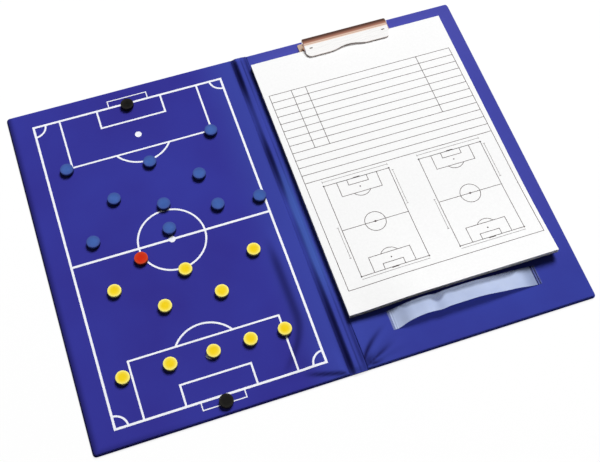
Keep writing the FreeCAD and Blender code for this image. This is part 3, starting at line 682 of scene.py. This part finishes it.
def moulded(name, colour, pale, rim):
    plastic = Finish(name, IOR=1.5, Specular_IOR_Level=0.06)
    even = plastic.mottle(plastic.noise(130.0, 2.0), colour, pale)
    # A stored value changes the tint along the rim.
    rim_tint = plastic.node("ShaderNodeAttribute", {"attribute_name": "rim"}, output="Fac")
    even = plastic.blend(rim_tint, even, rim)
    # The lower part of the wall is painted nearly black: painted shade down the side.
    painted_wall_shade = 1 - plastic.ramp(plastic.axis("Z"), 0.0049, 0.0061)
    plastic.set("Base Color", plastic.blend(painted_wall_shade * 0.93, even, WALL_SHADE_COLOUR))
    rubbed = plastic.noise(700.0, 3.0, 0.65)
    plastic.rough(rubbed, 0.32, 0.48)
    plastic.bump(plastic.noise(900.0, 2.0), 0.00002)
    return plastic.material


CAP_COLOURS = {
    "blue": moulded("blue_cap", (0.042, 0.098, 0.330), (0.056, 0.125, 0.400), (0.048, 0.082, 0.290)),
    "yellow": moulded("yellow_cap", (0.830, 0.590, 0.010), (0.890, 0.660, 0.020), (0.945, 0.845, 0.200)),
    "red": moulded("red_cap", (0.520, 0.018, 0.005), (0.600, 0.030, 0.009), (0.560, 0.060, 0.020)),
    "black": moulded("black_cap", (0.006, 0.006, 0.005), (0.012, 0.011, 0.010), (0.017, 0.016, 0.014)),
}
ferrite = Finish("ferrite_disc", Metallic=0.0)
grains = ferrite.noise(1500.0)
ferrite.set("Base Color", ferrite.blend(grains, (0.020, 0.019, 0.018), (0.050, 0.047, 0.045)))
ferrite.rough(ferrite.noise(900.0), 0.55, 0.75)


def pick_faces(test):
    """Selects the faces of the mesh in edit mode whose normal passes a test."""
    bpy.ops.mesh.select_all(action="DESELECT")
    object_mode()
    for polygon in bpy.context.object.data.polygons:
        polygon.select = test(polygon.normal)
    edit_mode()


def first_marker():
    low, high = corners(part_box("red_marker_01"))
    radius, tall = (high.x - low.x) / 2, high.z - low.z
    deselect()
    bpy.ops.mesh.primitive_cylinder_add(vertices=64, radius=radius, depth=tall, location=(0, 0, tall / 2))
    piece = bpy.context.object
    bpy.ops.object.transform_apply(location=True)
    edit_mode()
    bpy.ops.mesh.select_mode(type="FACE")
    pick_faces(lambda normal: normal.z > 0.9)
    bpy.ops.mesh.bevel(offset=0.55 * MM, segments=4, affect="EDGES")
    pick_faces(lambda normal: normal.z > 0.999)
    bpy.ops.mesh.inset(thickness=1.2 * MM, depth=-0.06 * MM)
    bpy.ops.mesh.inset(thickness=2.0 * MM, depth=-0.05 * MM)
    pick_faces(lambda normal: normal.z < -0.9)
    bpy.ops.mesh.inset(thickness=1.3 * MM)
    extrude((0, 0, 2.3 * MM))
    bpy.ops.mesh.inset(thickness=0.1 * MM)
    extrude((0, 0, -2.2 * MM))
    piece.data.materials.append(None)
    piece.data.materials.append(ferrite.material)
    piece.active_material_index = 1
    bpy.ops.object.material_slot_assign()
    object_mode()
    smooth(40)
    store_value(piece, "rim", lambda x, y: fade(math.hypot(x, y), 4.2, 5.6))
    return piece


pattern_marker = first_marker()
print("marker faces:", len(pattern_marker.data.polygons))

# %% [markdown]
# Copying a mesh datablock gives each marker its own vertices, which are then moved to the place of the solid
# that the marker stands for. Each one rides on its own body, because each can be slid about the pitch.

# %% Set out the markers
marker_count = 0
for node in sorted(frame["nodes"]):
    colour = node.split("_")[0]
    if "_marker_" not in node:
        continue
    low, high = corners(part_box(node))
    piece = new_object(node + "_cap", pattern_marker.data.copy())
    piece.data.name = piece.name
    piece.data.transform(Matrix.Translation(((low.x + high.x) / 2, (low.y + high.y) / 2, low.z)))
    piece.data.materials[0] = CAP_COLOURS[colour]
    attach(piece, node)
    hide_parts(node)
    colour + "_cap"
    marker_count += 1
bpy.data.objects.remove(pattern_marker)
print("markers set out:", marker_count)

# %% [markdown]
# A tear-off pad is a block of thin sheets. Seen from the side it is a bundle of fine layers that are never
# trimmed to the same line, so the block is built as a stack of thin slabs, each shifted by a hair. The cut
# edges are painted greyer than the sheets, as shade held in the gaps between them. They get two finishes of
# their own: the top slabs are nearly white, and the lower ones are painted dark, as the shade under the
# curled pad, except towards the free side, where a painted light makes them paler.


# %% Mix the paper
def paper(name, warmth):
    sheet = Finish(name, Specular_IOR_Level=0.2)
    fibre = sheet.noise(420.0, 4.0, 0.65)
    sheet.set("Base Color", sheet.mottle(fibre, (0.86, 0.86, 0.86 * warmth), (0.90, 0.90, 0.90 * warmth)))
    sheet.rough(sheet.noise(800.0), 0.72, 0.85)
    sheet.bump(sheet.noise(2200.0, 3.0), 0.00003)
    return sheet.material


white_paper = paper("white_paper", 1.0)
PAINTED_LIGHT_EDGE = (0.70, 0.69, 0.67)


def cut_edge(name, dark, light, painted_light=0.0):
    edge = Finish(name, Specular_IOR_Level=0.1)
    leaves = edge.noise(260.0, 3.0, 0.6, edge.stretched((0.06, 0.06, 30.0)))
    even = edge.mottle(leaves, (dark, dark * 0.97, dark * 0.93), (light, light * 0.98, light * 0.96))
    # Towards the free side a painted light makes the dark edges paler.
    free_side = edge.ramp(edge.axis("X"), 0.070, 0.170)
    edge.set("Base Color", edge.blend(free_side * painted_light, even, PAINTED_LIGHT_EDGE))
    edge.rough(leaves, 0.75, 0.9)
    return edge.material


# The lower slabs' edges are painted dark: painted shade under the curled pad.
EDGES = [cut_edge("new_sheet_edge", 0.34, 0.72), cut_edge("painted_shade_sheet_edge", 0.025, 0.08, 0.95)]
print("finishes for the pad:", white_paper.name, [finish.name for finish in EDGES])

# %% [markdown]
# The slabs are cubes stretched to the size of a few sheets. A fixed seed keeps their small shifts the same at
# every run. Only the clip holds the pad, so its free end curls up off the leaf. The block is cut across at
# close steps, like the print on the pitch, and raised by one rule of X and Y in millimetres, which the
# backing card below it and the printed form follow too.

# %% Stack and curl the pad
SHEETS_LOW, SHEETS_HIGH = corners(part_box("pad_sheets"))
LAYERS, NEW_LAYERS = 12, 3
SHIFT, OVERHANG, SLAB_GAP, SLAB_ROUND = 0.28, 0.4 * MM, 0.02 * MM, 0.06 * MM
PAD_LIFT, LIFT_FROM, LIFT_LENGTH = 5.6, -35.0, 96.7
LIFT_X, LIFT_Y = range(18, 90, 6), range(-130, -34, 5)
chance = random.Random(7)


def slab(low, high):
    """One thin slab of sheets with softened edges."""
    deselect()
    bpy.ops.mesh.primitive_cube_add(size=1)
    made = bpy.context.object
    edit_mode()
    bpy.ops.transform.resize(value=[b - a for a, b in zip(low, high)])
    bpy.ops.transform.translate(value=[(a + b) / 2 for a, b in zip(low, high)])
    bpy.ops.mesh.bevel(offset=SLAB_ROUND, segments=1, affect="EDGES")
    object_mode()
    return made


def pad_lift(x, y):
    """Height that the free end of the pad stands up, most of it away from the fold."""
    share = 0.22 + 0.78 * fade(x, 18.0, 86.0)
    return PAD_LIFT * share * max((LIFT_FROM - y) / LIFT_LENGTH, 0.0) ** 1.8


def paper_block():
    thick = (SHEETS_HIGH.z - SHEETS_LOW.z) / LAYERS
    slabs = []
    for n in range(LAYERS):
        shift = [chance.uniform(0.0, SHIFT) * MM for _ in range(3)]
        low = (SHEETS_LOW.x + shift[0] - OVERHANG, SHEETS_LOW.y + shift[1], SHEETS_LOW.z + n * thick)
        high = (SHEETS_HIGH.x - shift[2], SHEETS_HIGH.y, SHEETS_LOW.z + (n + 1) * thick - SLAB_GAP)
        slabs.append(slab(low, high))
    deselect()
    for made in slabs:
        made.select_set(True)
    bpy.context.view_layer.objects.active = slabs[0]
    bpy.ops.object.join()
    block = named("pad_block")
    for finish in [white_paper] + EDGES:
        block.data.materials.append(finish)
    for polygon in block.data.polygons:
        if abs(polygon.normal.z) < 0.5:
            new = polygon.center.z > SHEETS_HIGH.z - NEW_LAYERS * thick
            polygon.material_index = 1 if new else 2
    return block


pad_block = paper_block()
follow(pad_block, pad_lift, LIFT_X, LIFT_Y)
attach(pad_block, "pad")
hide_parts("pad_sheets")

bent_card = copy_of("pad_card", "bent_card")
follow(bent_card, pad_lift, LIFT_X, LIFT_Y)
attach(bent_card, "pad")
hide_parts("pad_card")
print("pad layers:", LAYERS)

# %% [markdown]
# The form on the pad is plain ruled lines: a table of rows with three upright lines, a block of note lines
# and two small pitches. Each printed line is a thin flat bar just above the top sheet. All of them are added
# to one mesh in a single edit session, because they are one print: a new plane comes in selected, so it can
# be stretched and moved at once. A ring is a circle whose edge is extruded outwards, and an arc is a ring
# with the rest cut away.

# %% Tools for printed lines
FORM_Z = SHEETS_HIGH.z + 0.03 * MM
LINE, FINE = 0.60, 0.36


def start_print(name):
    """An empty mesh in edit mode, ready for bars and rings."""
    deselect()
    bpy.ops.mesh.primitive_plane_add(size=1)
    made = named(name)
    edit_mode()
    bpy.ops.mesh.select_mode(type="VERT")
    bpy.ops.mesh.delete(type="VERT")
    return made


def bar(x0, y0, x1, y1, width=LINE):
    """A straight line along X or Y, in millimetres."""
    bpy.ops.mesh.primitive_plane_add(size=1)
    across = (abs(x1 - x0) + width) * MM
    along = (abs(y1 - y0) + width) * MM
    bpy.ops.transform.resize(value=(across, along, 1), center_override=(0, 0, 0))
    bpy.ops.transform.translate(value=((x0 + x1) / 2 * MM, (y0 + y1) / 2 * MM, FORM_Z))


def ring(x, y, radius, width=LINE, keep=()):
    """A circle line; each cut in keep is a point and a direction, and keeps the side it points to."""
    inside, outside = radius - width / 2, radius + width / 2
    centre = (x * MM, y * MM, FORM_Z)
    bpy.ops.mesh.primitive_circle_add(vertices=48, radius=inside * MM, location=centre)
    bpy.ops.mesh.extrude_region_move()
    bpy.ops.transform.resize(value=(outside / inside, outside / inside, 1), center_override=centre)
    bpy.ops.mesh.select_linked()
    for point, way in keep:
        bpy.ops.mesh.bisect(plane_co=[c * MM for c in point], plane_no=way, clear_inner=True)
        bpy.ops.mesh.select_linked()


def frame_of_bars(x0, y0, x1, y1, width=LINE):
    for a, b, c, d in ((x0, y0, x1, y0), (x1, y0, x1, y1), (x1, y1, x0, y1), (x0, y1, x0, y0)):
        bar(a, b, c, d, width)


form_print = start_print("form_print")
print("form height over the leaf:", round(FORM_Z / MM, 2), "mm")

# %% [markdown]
# The table and the note lines share one row height, so one loop rules each of them. Their frame is closed by
# two long upright lines and a line along the bottom.

# %% Rule the table and the notes
FORM_LEFT, FORM_RIGHT, FORM_BOTTOM = 18.4, 216.8, -107.9
ROW_TOP, ROW_STEP, ROWS, NOTE_ROWS = 122.4, 9.09, 8, 4
COLUMNS = (42.0, 57.5, 179.2)
table_bottom = ROW_TOP - ROWS * ROW_STEP
for n in range(ROWS + NOTE_ROWS + 1):
    bar(FORM_LEFT, ROW_TOP - n * ROW_STEP, FORM_RIGHT, ROW_TOP - n * ROW_STEP)
for x in COLUMNS:
    bar(x, ROW_TOP, x, table_bottom)
for x in (FORM_LEFT, FORM_RIGHT):
    bar(x, ROW_TOP, x, FORM_BOTTOM)
bar(FORM_LEFT, FORM_BOTTOM, FORM_RIGHT, FORM_BOTTOM)
print("rows:", ROWS, "note lines:", NOTE_ROWS)

# %% [markdown]
# The two small pitches carry the same markings as the large one, scaled down: halfway line and circle, the
# penalty and goal areas, a spot, an arc and a short bar for each goal.

# %% Draw the two small pitches
SMALL_Y, SMALL_LENGTH = -46.5, 103.0
CIRCLE, AREA_HALF, GOAL_HALF = 0.152, 0.305, 0.150
AREA, GOAL_AREA, SPOT = 0.160, 0.060, 0.103
TOP_GAP, FOOT_GAP, SIDE_GAP, TICK = 4.6, 2.9, 2.8, 1


def small_pitch(x, y, width, length):
    low_x, high_x = x - width / 2, x + width / 2
    round_middle = CIRCLE * width
    frame_of_bars(low_x, y - length / 2, high_x, y + length / 2)
    bar(low_x, y, high_x, y)
    ring(x, y, round_middle)
    ring(x, y, 0.55, 1.0)
    for way in (-1, 1):
        goal = y + way * length / 2
        area, small_area, spot = (goal - way * share * length for share in (AREA, GOAL_AREA, SPOT))
        frame_of_bars(x - AREA_HALF * width, goal, x + AREA_HALF * width, area)
        frame_of_bars(x - GOAL_HALF * width, goal, x + GOAL_HALF * width, small_area)
        ring(x, spot, 0.40, 0.7)
        ring(x, spot, round_middle, LINE, [((x, area, 0), (0, -way, 0))])
        bar(x - 3, goal + way * 0.5, x + 3, goal + way * 0.5, 0.9)
        for post in (low_x, high_x):
            ring(post, goal, 0.45, 0.8)


def size_lines(x, y, width, length):
    """Fine lines beside a small pitch, with a tick at each end, for noting its size."""
    left, right, side = x - width / 2, x + width / 2, width / 2 + SIDE_GAP
    top, foot = y + length / 2 + TOP_GAP, y - length / 2 - FOOT_GAP
    bar(left, top, right, top, FINE)
    bar(left, foot, right, foot, FINE)
    for tick in (left, right):
        bar(tick, top - TICK, tick, top + TICK, FINE)
    for place, ends in ((x - side, (y + 4, y - 30)), (x + side, (y + 9, y + length / 2 - 3))):
        bar(place, ends[0], place, ends[1], FINE)
        for tick in ends:
            bar(place - TICK, tick, place + TICK, tick, FINE)


for x, width in ((68.8, 68.0), (167.7, 66.5)):
    small_pitch(x, SMALL_Y, width, SMALL_LENGTH)
    size_lines(x, SMALL_Y, width, SMALL_LENGTH)
object_mode()
print("small pitch length:", SMALL_LENGTH, "mm")

# %% [markdown]
# The flat print gets a hair of thickness from a Solidify modifier, leans a little askew, as printed forms do,
# and is raised by the pad's own rule so that it stays on the top sheet.

# %% Ink the form
ASKEW = 0.0088
ink_film = form_print.modifiers.new("ink_film", "SOLIDIFY")
ink_film.thickness = 0.02 * MM
bpy.ops.object.modifier_apply(modifier="ink_film")
edit_mode()
face_outwards()
reshape(form_print, lambda p: Vector((p.x + ASKEW * (ROW_TOP * MM - p.y), p.y, p.z)))
follow(form_print, pad_lift, LIFT_X, LIFT_Y)

form_ink = Finish("grey_form_ink", Specular_IOR_Level=0.2)
thin = form_ink.noise(900.0, 3.0, 0.6)
form_ink.set("Base Color", form_ink.mottle(thin, (0.050, 0.036, 0.036), (0.120, 0.090, 0.090)))
form_ink.rough(thin, 0.6, 0.8)
form_print.data.materials.append(form_ink.material)
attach(form_print, "pad")
print("form faces:", len(form_print.data.polygons))

# %% [markdown]
# The pen strip is clear soft film, welded down at both ends and arched between them to let a pen through. The
# film rises steeply on the left, carries a soft dent and comes down gently on the right, and its near edge is
# drawn back where it arches. It starts as a flat grid whose heights follow a short table along the strip, and
# gets its thickness from a Solidify modifier at the end.

# %% Weld the pen strip
STRIP_LOW, STRIP_HIGH = corners(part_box("pen_strip"))
STRIP_TAB = 5.0 * MM
STRIP_FILM = 0.45 * MM
ARCH = [(0.0, 0.0), (0.03, 0.20), (0.09, 0.66), (0.20, 0.97), (0.30, 0.90), (0.44, 1.00), (0.60, 0.92),
        (0.74, 0.66), (0.86, 0.40), (0.95, 0.12), (1.0, 0.0)]
RISE, DRAWN_IN = 8.0 * MM, 3.4 * MM


def strip_height(x, y):
    """Height of the film's middle over the leaf."""
    first, last = STRIP_LOW.x + STRIP_TAB, STRIP_HIGH.x - STRIP_TAB
    along = min(max((x - first) / (last - first), 0.0), 1.0)
    across = (y - STRIP_LOW.y) / (STRIP_HIGH.y - STRIP_LOW.y)
    arch = RISE * along_table(ARCH, along)
    firm = min(arch / (4 * MM), 1.0)
    dent = 1.5 * MM * hump(x / MM - 88.0 - 8.0 * across, 4.6) * (0.4 + 0.6 * across)
    ripple = 0.22 * MM * math.sin(x / (7 * MM) + 1.6 * across)
    end = min(x - STRIP_LOW.x, STRIP_HIGH.x - x) / MM
    weld = 0.08 * MM * (hump(end - 1.5, 0.5) + hump(end - 3.6, 0.5))
    return STRIP_LOW.z + STRIP_FILM / 2 + 0.03 * MM + arch + (ripple - dent) * firm - weld


def drawn_in(x, y):
    """Y of a point of the film, whose near edge is pulled back where it arches."""
    arch = strip_height(x, STRIP_HIGH.y) - STRIP_LOW.z
    return y + DRAWN_IN * min(arch / RISE, 1.0) * (STRIP_HIGH.y - y) / (STRIP_HIGH.y - STRIP_LOW.y)


def pen_film():
    low = (STRIP_LOW.x, STRIP_LOW.y, 0)
    high = (STRIP_HIGH.x, STRIP_HIGH.y, 0)
    piece = start_grid("pen_film", low, high, 200, 20)
    object_mode()
    reshape(piece, lambda p: Vector((p.x, drawn_in(p.x, p.y), strip_height(p.x, p.y))))
    film = piece.modifiers.new("film", "SOLIDIFY")
    film.thickness = STRIP_FILM * 0.9
    film.offset = 0
    bpy.ops.object.modifier_apply(modifier="film")
    smooth(40)
    return piece


pen_strip = pen_film()
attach(pen_strip, "right_leaf")
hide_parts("pen_strip")
print("pen strip crown:", round(max(v.co.z for v in pen_strip.data.vertices) / MM, 1), "mm")

# %% [markdown]
# The film's look changes along it. Where it arches, it is hazy and pale; where it is welded down, it is
# clear, so the blue vinyl shows through, crossed by two dark weld lines. All of that is a matter of how
# see-through it is, so one mask along X and one along Y drive the alpha. The mask along Y also paints the
# pad's shadow over the far side, in the colour and by letting the shaded vinyl show through. Two soft pleats
# and the right end get painted shade, and the weld lines drive the colour as well. Thin film lets some light
# through even where it is hazy, so it is clearer to shadow rays.

# %% Haze the film
PLEATS, PLEAT_WIDTH = (STRIP_LOW.x + 15.5 * MM, 96.0 * MM), 9 * MM
PAD_SHADOW_EDGE, WELDS = (-0.1412, -0.1378), ((1.5, 0.70), (3.9, 0.75))
FILM_SHADE, PAD_SHADOW_FILM, FILM_WELD = (0.22, 0.27, 0.42), (0.19, 0.225, 0.33), (0.010, 0.009, 0.060)
film = Finish("clear_soft_film", IOR=1.5, Specular_IOR_Level=0.10)
haze = film.noise(34.0, 3.0)
film_x, film_y = film.axis("X"), film.axis("Y")
strip_middle = (STRIP_LOW.x + STRIP_HIGH.x) / 2
from_end = (STRIP_HIGH.x - STRIP_LOW.x) / 2 - abs(film_x - strip_middle)
right_half = film.ramp(film_x, strip_middle - 10 * MM, strip_middle + 10 * MM)
arched = film.ramp(from_end + 2.6 * MM * (1 - right_half), 4.2 * MM, 5.6 * MM)
pleats = [film.band(film_x, place, 0.0, PLEAT_WIDTH) for place in PLEATS]
folded = pleats[0] + pleats[1]
# The pad's shadow is painted over the far side of the film, along a wavy line.
pad_shadow_line = film_y + 0.008 * (haze - 0.5) - 0.009 * (1 - film.ramp(from_end, 5 * MM, 28 * MM))
near = 1 - film.ramp(pad_shadow_line + 0.0042 * folded, *PAD_SHADOW_EDGE)
# Painted shade on the right end and in the two pleats.
painted_fold_shade = right_half * (1 - film.ramp(from_end, 6 * MM, 20 * MM)) * 0.7 + folded * 0.24
lines = [film.band(from_end, place * MM, 0.35 * MM, edge * MM) for place, edge in WELDS]
welds = (lines[0] + lines[1]) * (0.30 + 0.70 * right_half)
pale_film = film.mottle(haze, (0.47, 0.55, 0.76), (0.58, 0.66, 0.85))
pale_film = film.blend((1 - near) * 0.50, pale_film, PAD_SHADOW_FILM)
pale_film = film.blend(painted_fold_shade, pale_film, FILM_SHADE)
film.set("Base Color", film.blend(welds, pale_film, FILM_WELD))
film.rough(film.noise(250.0, 3.0), 0.30, 0.44)
in_shadow = film.node("ShaderNodeLightPath", output="Is Shadow Ray")
# The painted shadow also makes the far side clearer, so the shaded vinyl shows through.
cover = welds * 0.55 + (1 - welds) * (0.14 + arched * (0.28 + 0.30 * near))
film.set("Alpha", cover * (1 - 0.42 * in_shadow))
pen_strip.data.materials.append(film.material)
print("hazed", film.material.name)

# %% [markdown]
# The spring is one wound wire. A small circle, set beside the pin's axis, is carried round and along the pin
# by a Screw modifier, which is how a coil is wound. Its two open ends are then extruded straight on, to make
# the legs that press on the foot plate and on the jaw.

# %% Wind the clip spring
PIN_LOW, PIN_HIGH = corners(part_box("clip_pin"))
PIN = (PIN_LOW + PIN_HIGH) / 2
COIL, WIRE, LEAD, TURNS = 2.55 * MM, 0.9 * MM, 1.45 * MM, 6
FIRST, LAST = math.radians(-30), math.radians(90 + 14.8) + 2 * math.pi * TURNS
LEGS = {FIRST: -6.9 * MM, LAST: 6.0 * MM}


def coil_point(turn):
    x = LEAD * (turn - (FIRST + LAST) / 2) / (2 * math.pi)
    return PIN + Vector((x, COIL * math.cos(turn), COIL * math.sin(turn)))


def coil_way(turn):
    return Vector((LEAD / (2 * math.pi), -COIL * math.sin(turn), COIL * math.cos(turn))).normalized()


def wind_spring():
    deselect()
    bpy.ops.mesh.primitive_circle_add(vertices=14, radius=WIRE / 2, location=PIN, rotation=(FIRST, 0, 0))
    piece = named("wound_spring")
    advance = LEAD * (LAST - FIRST) / (2 * math.pi)
    piece.data.transform(Matrix.Translation((-advance / 2, COIL, 0)))
    coil = piece.modifiers.new("coil", "SCREW")
    coil.axis, coil.angle, coil.screw_offset = "X", LAST - FIRST, advance
    coil.steps = coil.render_steps = 210
    bpy.ops.object.modifier_apply(modifier="coil")
    bpy.ops.object.transform_apply(location=True, rotation=True)
    for turn, length in LEGS.items():
        edit_mode()
        bpy.ops.mesh.select_mode(type="VERT")
        bpy.ops.mesh.select_all(action="DESELECT")
        object_mode()
        for vertex in piece.data.vertices:
            away = vertex.co - coil_point(turn)
            vertex.select = away.length < 0.55 * WIRE and abs(away.dot(coil_way(turn))) < 0.12 * WIRE
        edit_mode()
        extrude(coil_way(turn) * length)
        bpy.ops.mesh.edge_face_add()
    face_outwards()
    smooth(50)
    return piece


wound_spring = wind_spring()
print("spring turns:", TURNS, "faces:", len(wound_spring.data.polygons))

# %% [markdown]
# Metal parts keep their solid shapes and only need finishes. The clip is bright nickel plate: very smooth,
# with faint drawn streaks along its length. A warm brown reflection is painted over the rolled rear of the
# jaw, and the foot plate has a warmer, darker tone. The spring is duller drawn wire and the rivets are brass.

# %% Plate the metal
ALONG_X, ALONG_Y, EVEN = (0.08, 1.0, 1.0), (1.0, 0.1, 1.0), (1.0, 1.0, 1.0)


def metal(name, colour, glossy, dull, streak):
    plate = Finish(name, Metallic=1.0)
    drawn = plate.noise(900.0, 3.0, 0.6, plate.stretched(streak))
    plate.colour = plate.mottle(drawn, [c * 0.92 for c in colour], colour)
    plate.set("Base Color", plate.colour)
    plate.rough(plate.noise(300.0, 3.0), glossy, dull)
    plate.bump(drawn, 0.000004)
    return plate


nickel = metal("nickel_plate", (0.95, 0.935, 0.92), 0.07, 0.14, ALONG_X).material
wire_steel = metal("spring_wire", (0.52, 0.51, 0.50), 0.28, 0.42, EVEN).material
# A warmer and darker plate, used on the foot plate.
warm_base_plate = metal("warm_nickel_base", (0.78, 0.58, 0.45), 0.16, 0.28, ALONG_X).material
brass = metal("rivet_brass", (0.72, 0.54, 0.28), 0.22, 0.36, EVEN).material
steel = metal("tinned_steel", (0.60, 0.60, 0.61), 0.30, 0.45, ALONG_Y).material
wound_spring.data.materials.append(wire_steel)
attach(wound_spring, "right_leaf")
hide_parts("clip_spring")
print("metals:", nickel.name, wire_steel.name, warm_base_plate.name, brass.name, steel.name)

# %% [markdown]
# On the jaw the painted reflection follows the roll, so the masks run along Y: bright plate first, then a
# thin darker line where the roll starts, a light brown and a dark one over its back. The pressed rim at the
# bottom, in shade on the real clip, is painted darker by height. The boards and the glue of the pad are plain
# and hardly show.

# %% Paint the reflection on the jaw and finish the solids
TO_BARREL, TO_BROWN, TO_DARK = (0.1666, 0.1676), (0.1682, 0.1706), (0.1699, 0.1730)
RIM_HEIGHT = (0.0110, 0.0117)
COPPER, BROWN, DARK_BROWN = (0.90, 0.70, 0.58), (0.42, 0.19, 0.13), (0.17, 0.08, 0.06)
LINE_BROWN, RIM_BROWN = (0.40, 0.22, 0.16), (0.42, 0.29, 0.25)

jaw = metal("warm_nickel_jaw", (0.99, 0.98, 0.97), 0.07, 0.14, ALONG_X)
rear = jaw.axis("Y")
# A brown reflection is painted over the roll of the jaw, in bands along Y.
roll_line = jaw.band(rear, TO_BROWN[0], 0.0002, 0.0006)
painted_barrel_reflection = jaw.blend(jaw.ramp(rear, *TO_BROWN), COPPER, BROWN)
painted_barrel_reflection = jaw.blend(jaw.ramp(rear, *TO_DARK), painted_barrel_reflection, DARK_BROWN)
painted_barrel_reflection = jaw.blend(roll_line * 0.6, painted_barrel_reflection, LINE_BROWN)
jaw_colour = jaw.blend(jaw.ramp(rear, *TO_BARREL), jaw.colour, painted_barrel_reflection)
# The pressed rim is painted darker: painted shade.
jaw_rim = 1 - jaw.ramp(jaw.axis("Z"), *RIM_HEIGHT)
jaw.set("Base Color", jaw.blend(jaw_rim * 0.55, jaw_colour, RIM_BROWN))


def greyboard(name, tone):
    board = Finish(name, Specular_IOR_Level=0.2)
    fleck = board.noise(700.0, 5.0, 0.7)
    board.set("Base Color", board.mottle(fleck, [c * 0.85 for c in tone], tone))
    board.rough(board.noise(500.0), 0.75, 0.9)
    board.bump(fleck, 0.00008)
    return board.material


core_board = greyboard("core_greyboard", (0.42, 0.40, 0.37))
backing = greyboard("pad_backing_card", (0.26, 0.245, 0.22))
dried_glue = paper("padding_glue", 0.96)
NODE_FINISHES = {
    "clip_base": warm_base_plate, "clip_lever": jaw.material, "clip_pin": nickel, "clip_rivets": brass,
    "steel_sheet": steel, "left_board": core_board, "right_board": core_board, "pad_glue_edge": dried_glue,
}
for node, finish in NODE_FINISHES.items():
    dress(frame["nodes"][node], finish)
dress(bent_card, backing)
print("finished solids:", len(NODE_FINISHES))

# %% [markdown]
# The studio is plain: a white floor, one large soft lamp up behind the right-hand leaf, which throws the
# short shadows to the lower left, and a weak even light from all round. The floor and the surroundings show
# themselves as white to the camera and to reflections, but light the board only gently. A grey hood behind
# the board, seen only in reflections, stands for the darker room that bright metal always mirrors.

# %% Light the studio
FLOOR_GLOW, AIR_LIGHT = 0.80, 0.05
HOOD_RADIUS, HOOD_LENGTH, HOOD_EDGE = 2.6, 9, 0.85


def seen_white(nodes):
    """One for rays that should see plain white: camera, mirror and see-through rays."""
    camera_ray, mirror_ray, through_ray = (nodes.node("ShaderNodeLightPath", output="Is %s Ray" % kind)
                                           for kind in ("Camera", "Glossy", "Transmission"))
    return camera_ray.at_least(mirror_ray).at_least(through_ray)


def white_floor():
    deselect()
    bpy.ops.mesh.primitive_plane_add(size=12, location=(0, 0, -0.0002))
    floor = bpy.context.object
    floor.name = "studio_floor"
    surface = Finish("studio_floor", Base_Color=(0.96, 0.96, 0.96, 1), Roughness=0.9)
    plain, glow = Shade(surface, surface.shader.outputs[0]), surface.node("ShaderNodeEmission")
    mix = surface.node("ShaderNodeMixShader", None, {0: seen_white(surface) * FLOOR_GLOW, 1: plain, 2: glow})
    surface.tree.links.new(mix.socket, surface.tree.nodes["Material Output"].inputs["Surface"])
    floor.data.materials.append(surface.material)


def soft_lamp(name, place, size, power):
    """A square lamp that faces the board and isn't mirrored in it."""
    lamp = bpy.data.lights.new(name, "AREA")
    lamp.size, lamp.energy = size, power
    holder = new_object(name, lamp)
    holder.location = place
    holder.rotation_euler = (-Vector(place)).to_track_quat("-Z", "Y").to_euler()
    holder.visible_glossy = False


def grey_hood():
    """A curved grey sheet behind and over the board, which gives bright metal something dark to show."""
    deselect()
    bpy.ops.mesh.primitive_cylinder_add(vertices=96, radius=HOOD_RADIUS, depth=HOOD_LENGTH,
                                        end_fill_type="NOTHING", rotation=(0, math.pi / 2, 0))
    hood = bpy.context.object
    hood.name = "studio_hood"
    bpy.ops.object.transform_apply(location=True, rotation=True)
    edit_mode()
    for point, way in (((0, 0, 0), (0, 0, 1)), ((0, HOOD_EDGE, 0), (0, 1, 0))):
        select_mesh()
        bpy.ops.mesh.bisect(plane_co=point, plane_no=way, clear_inner=True)
    object_mode()
    tone = Finish("studio_hood", Base_Color=(0, 0, 0, 1), Specular_IOR_Level=0.0, Emission_Strength=1.0)
    height = tone.ramp(tone.axis("Z"), 0.2, 2.45)
    tone.set("Emission Color", tone.blend(height, (0.28, 0.27, 0.26), (0.82, 0.81, 0.80)))
    hood.data.materials.append(tone.material)
    hood.visible_camera = hood.visible_diffuse = hood.visible_shadow = hood.visible_transmission = False


white_floor()
grey_hood()
soft_lamp("key_lamp", (2.65, 3.78, 5.91), 3.0, 735)
soft_lamp("fill_lamp", (-0.9, -0.9, 2.2), 1.6, 2.5)

world = bpy.data.worlds.new("studio_air")
bpy.context.scene.world = world
air = Nodes(world, "Background")
air.shader.inputs["Color"].default_value = (1, 1, 1, 1)
air.set("Strength", air.node("ShaderNodeMapRange", None, {"Value": seen_white(air), "To Min": AIR_LIGHT}))
bpy.context.scene.view_settings.view_transform = "Standard"
print("studio lit")
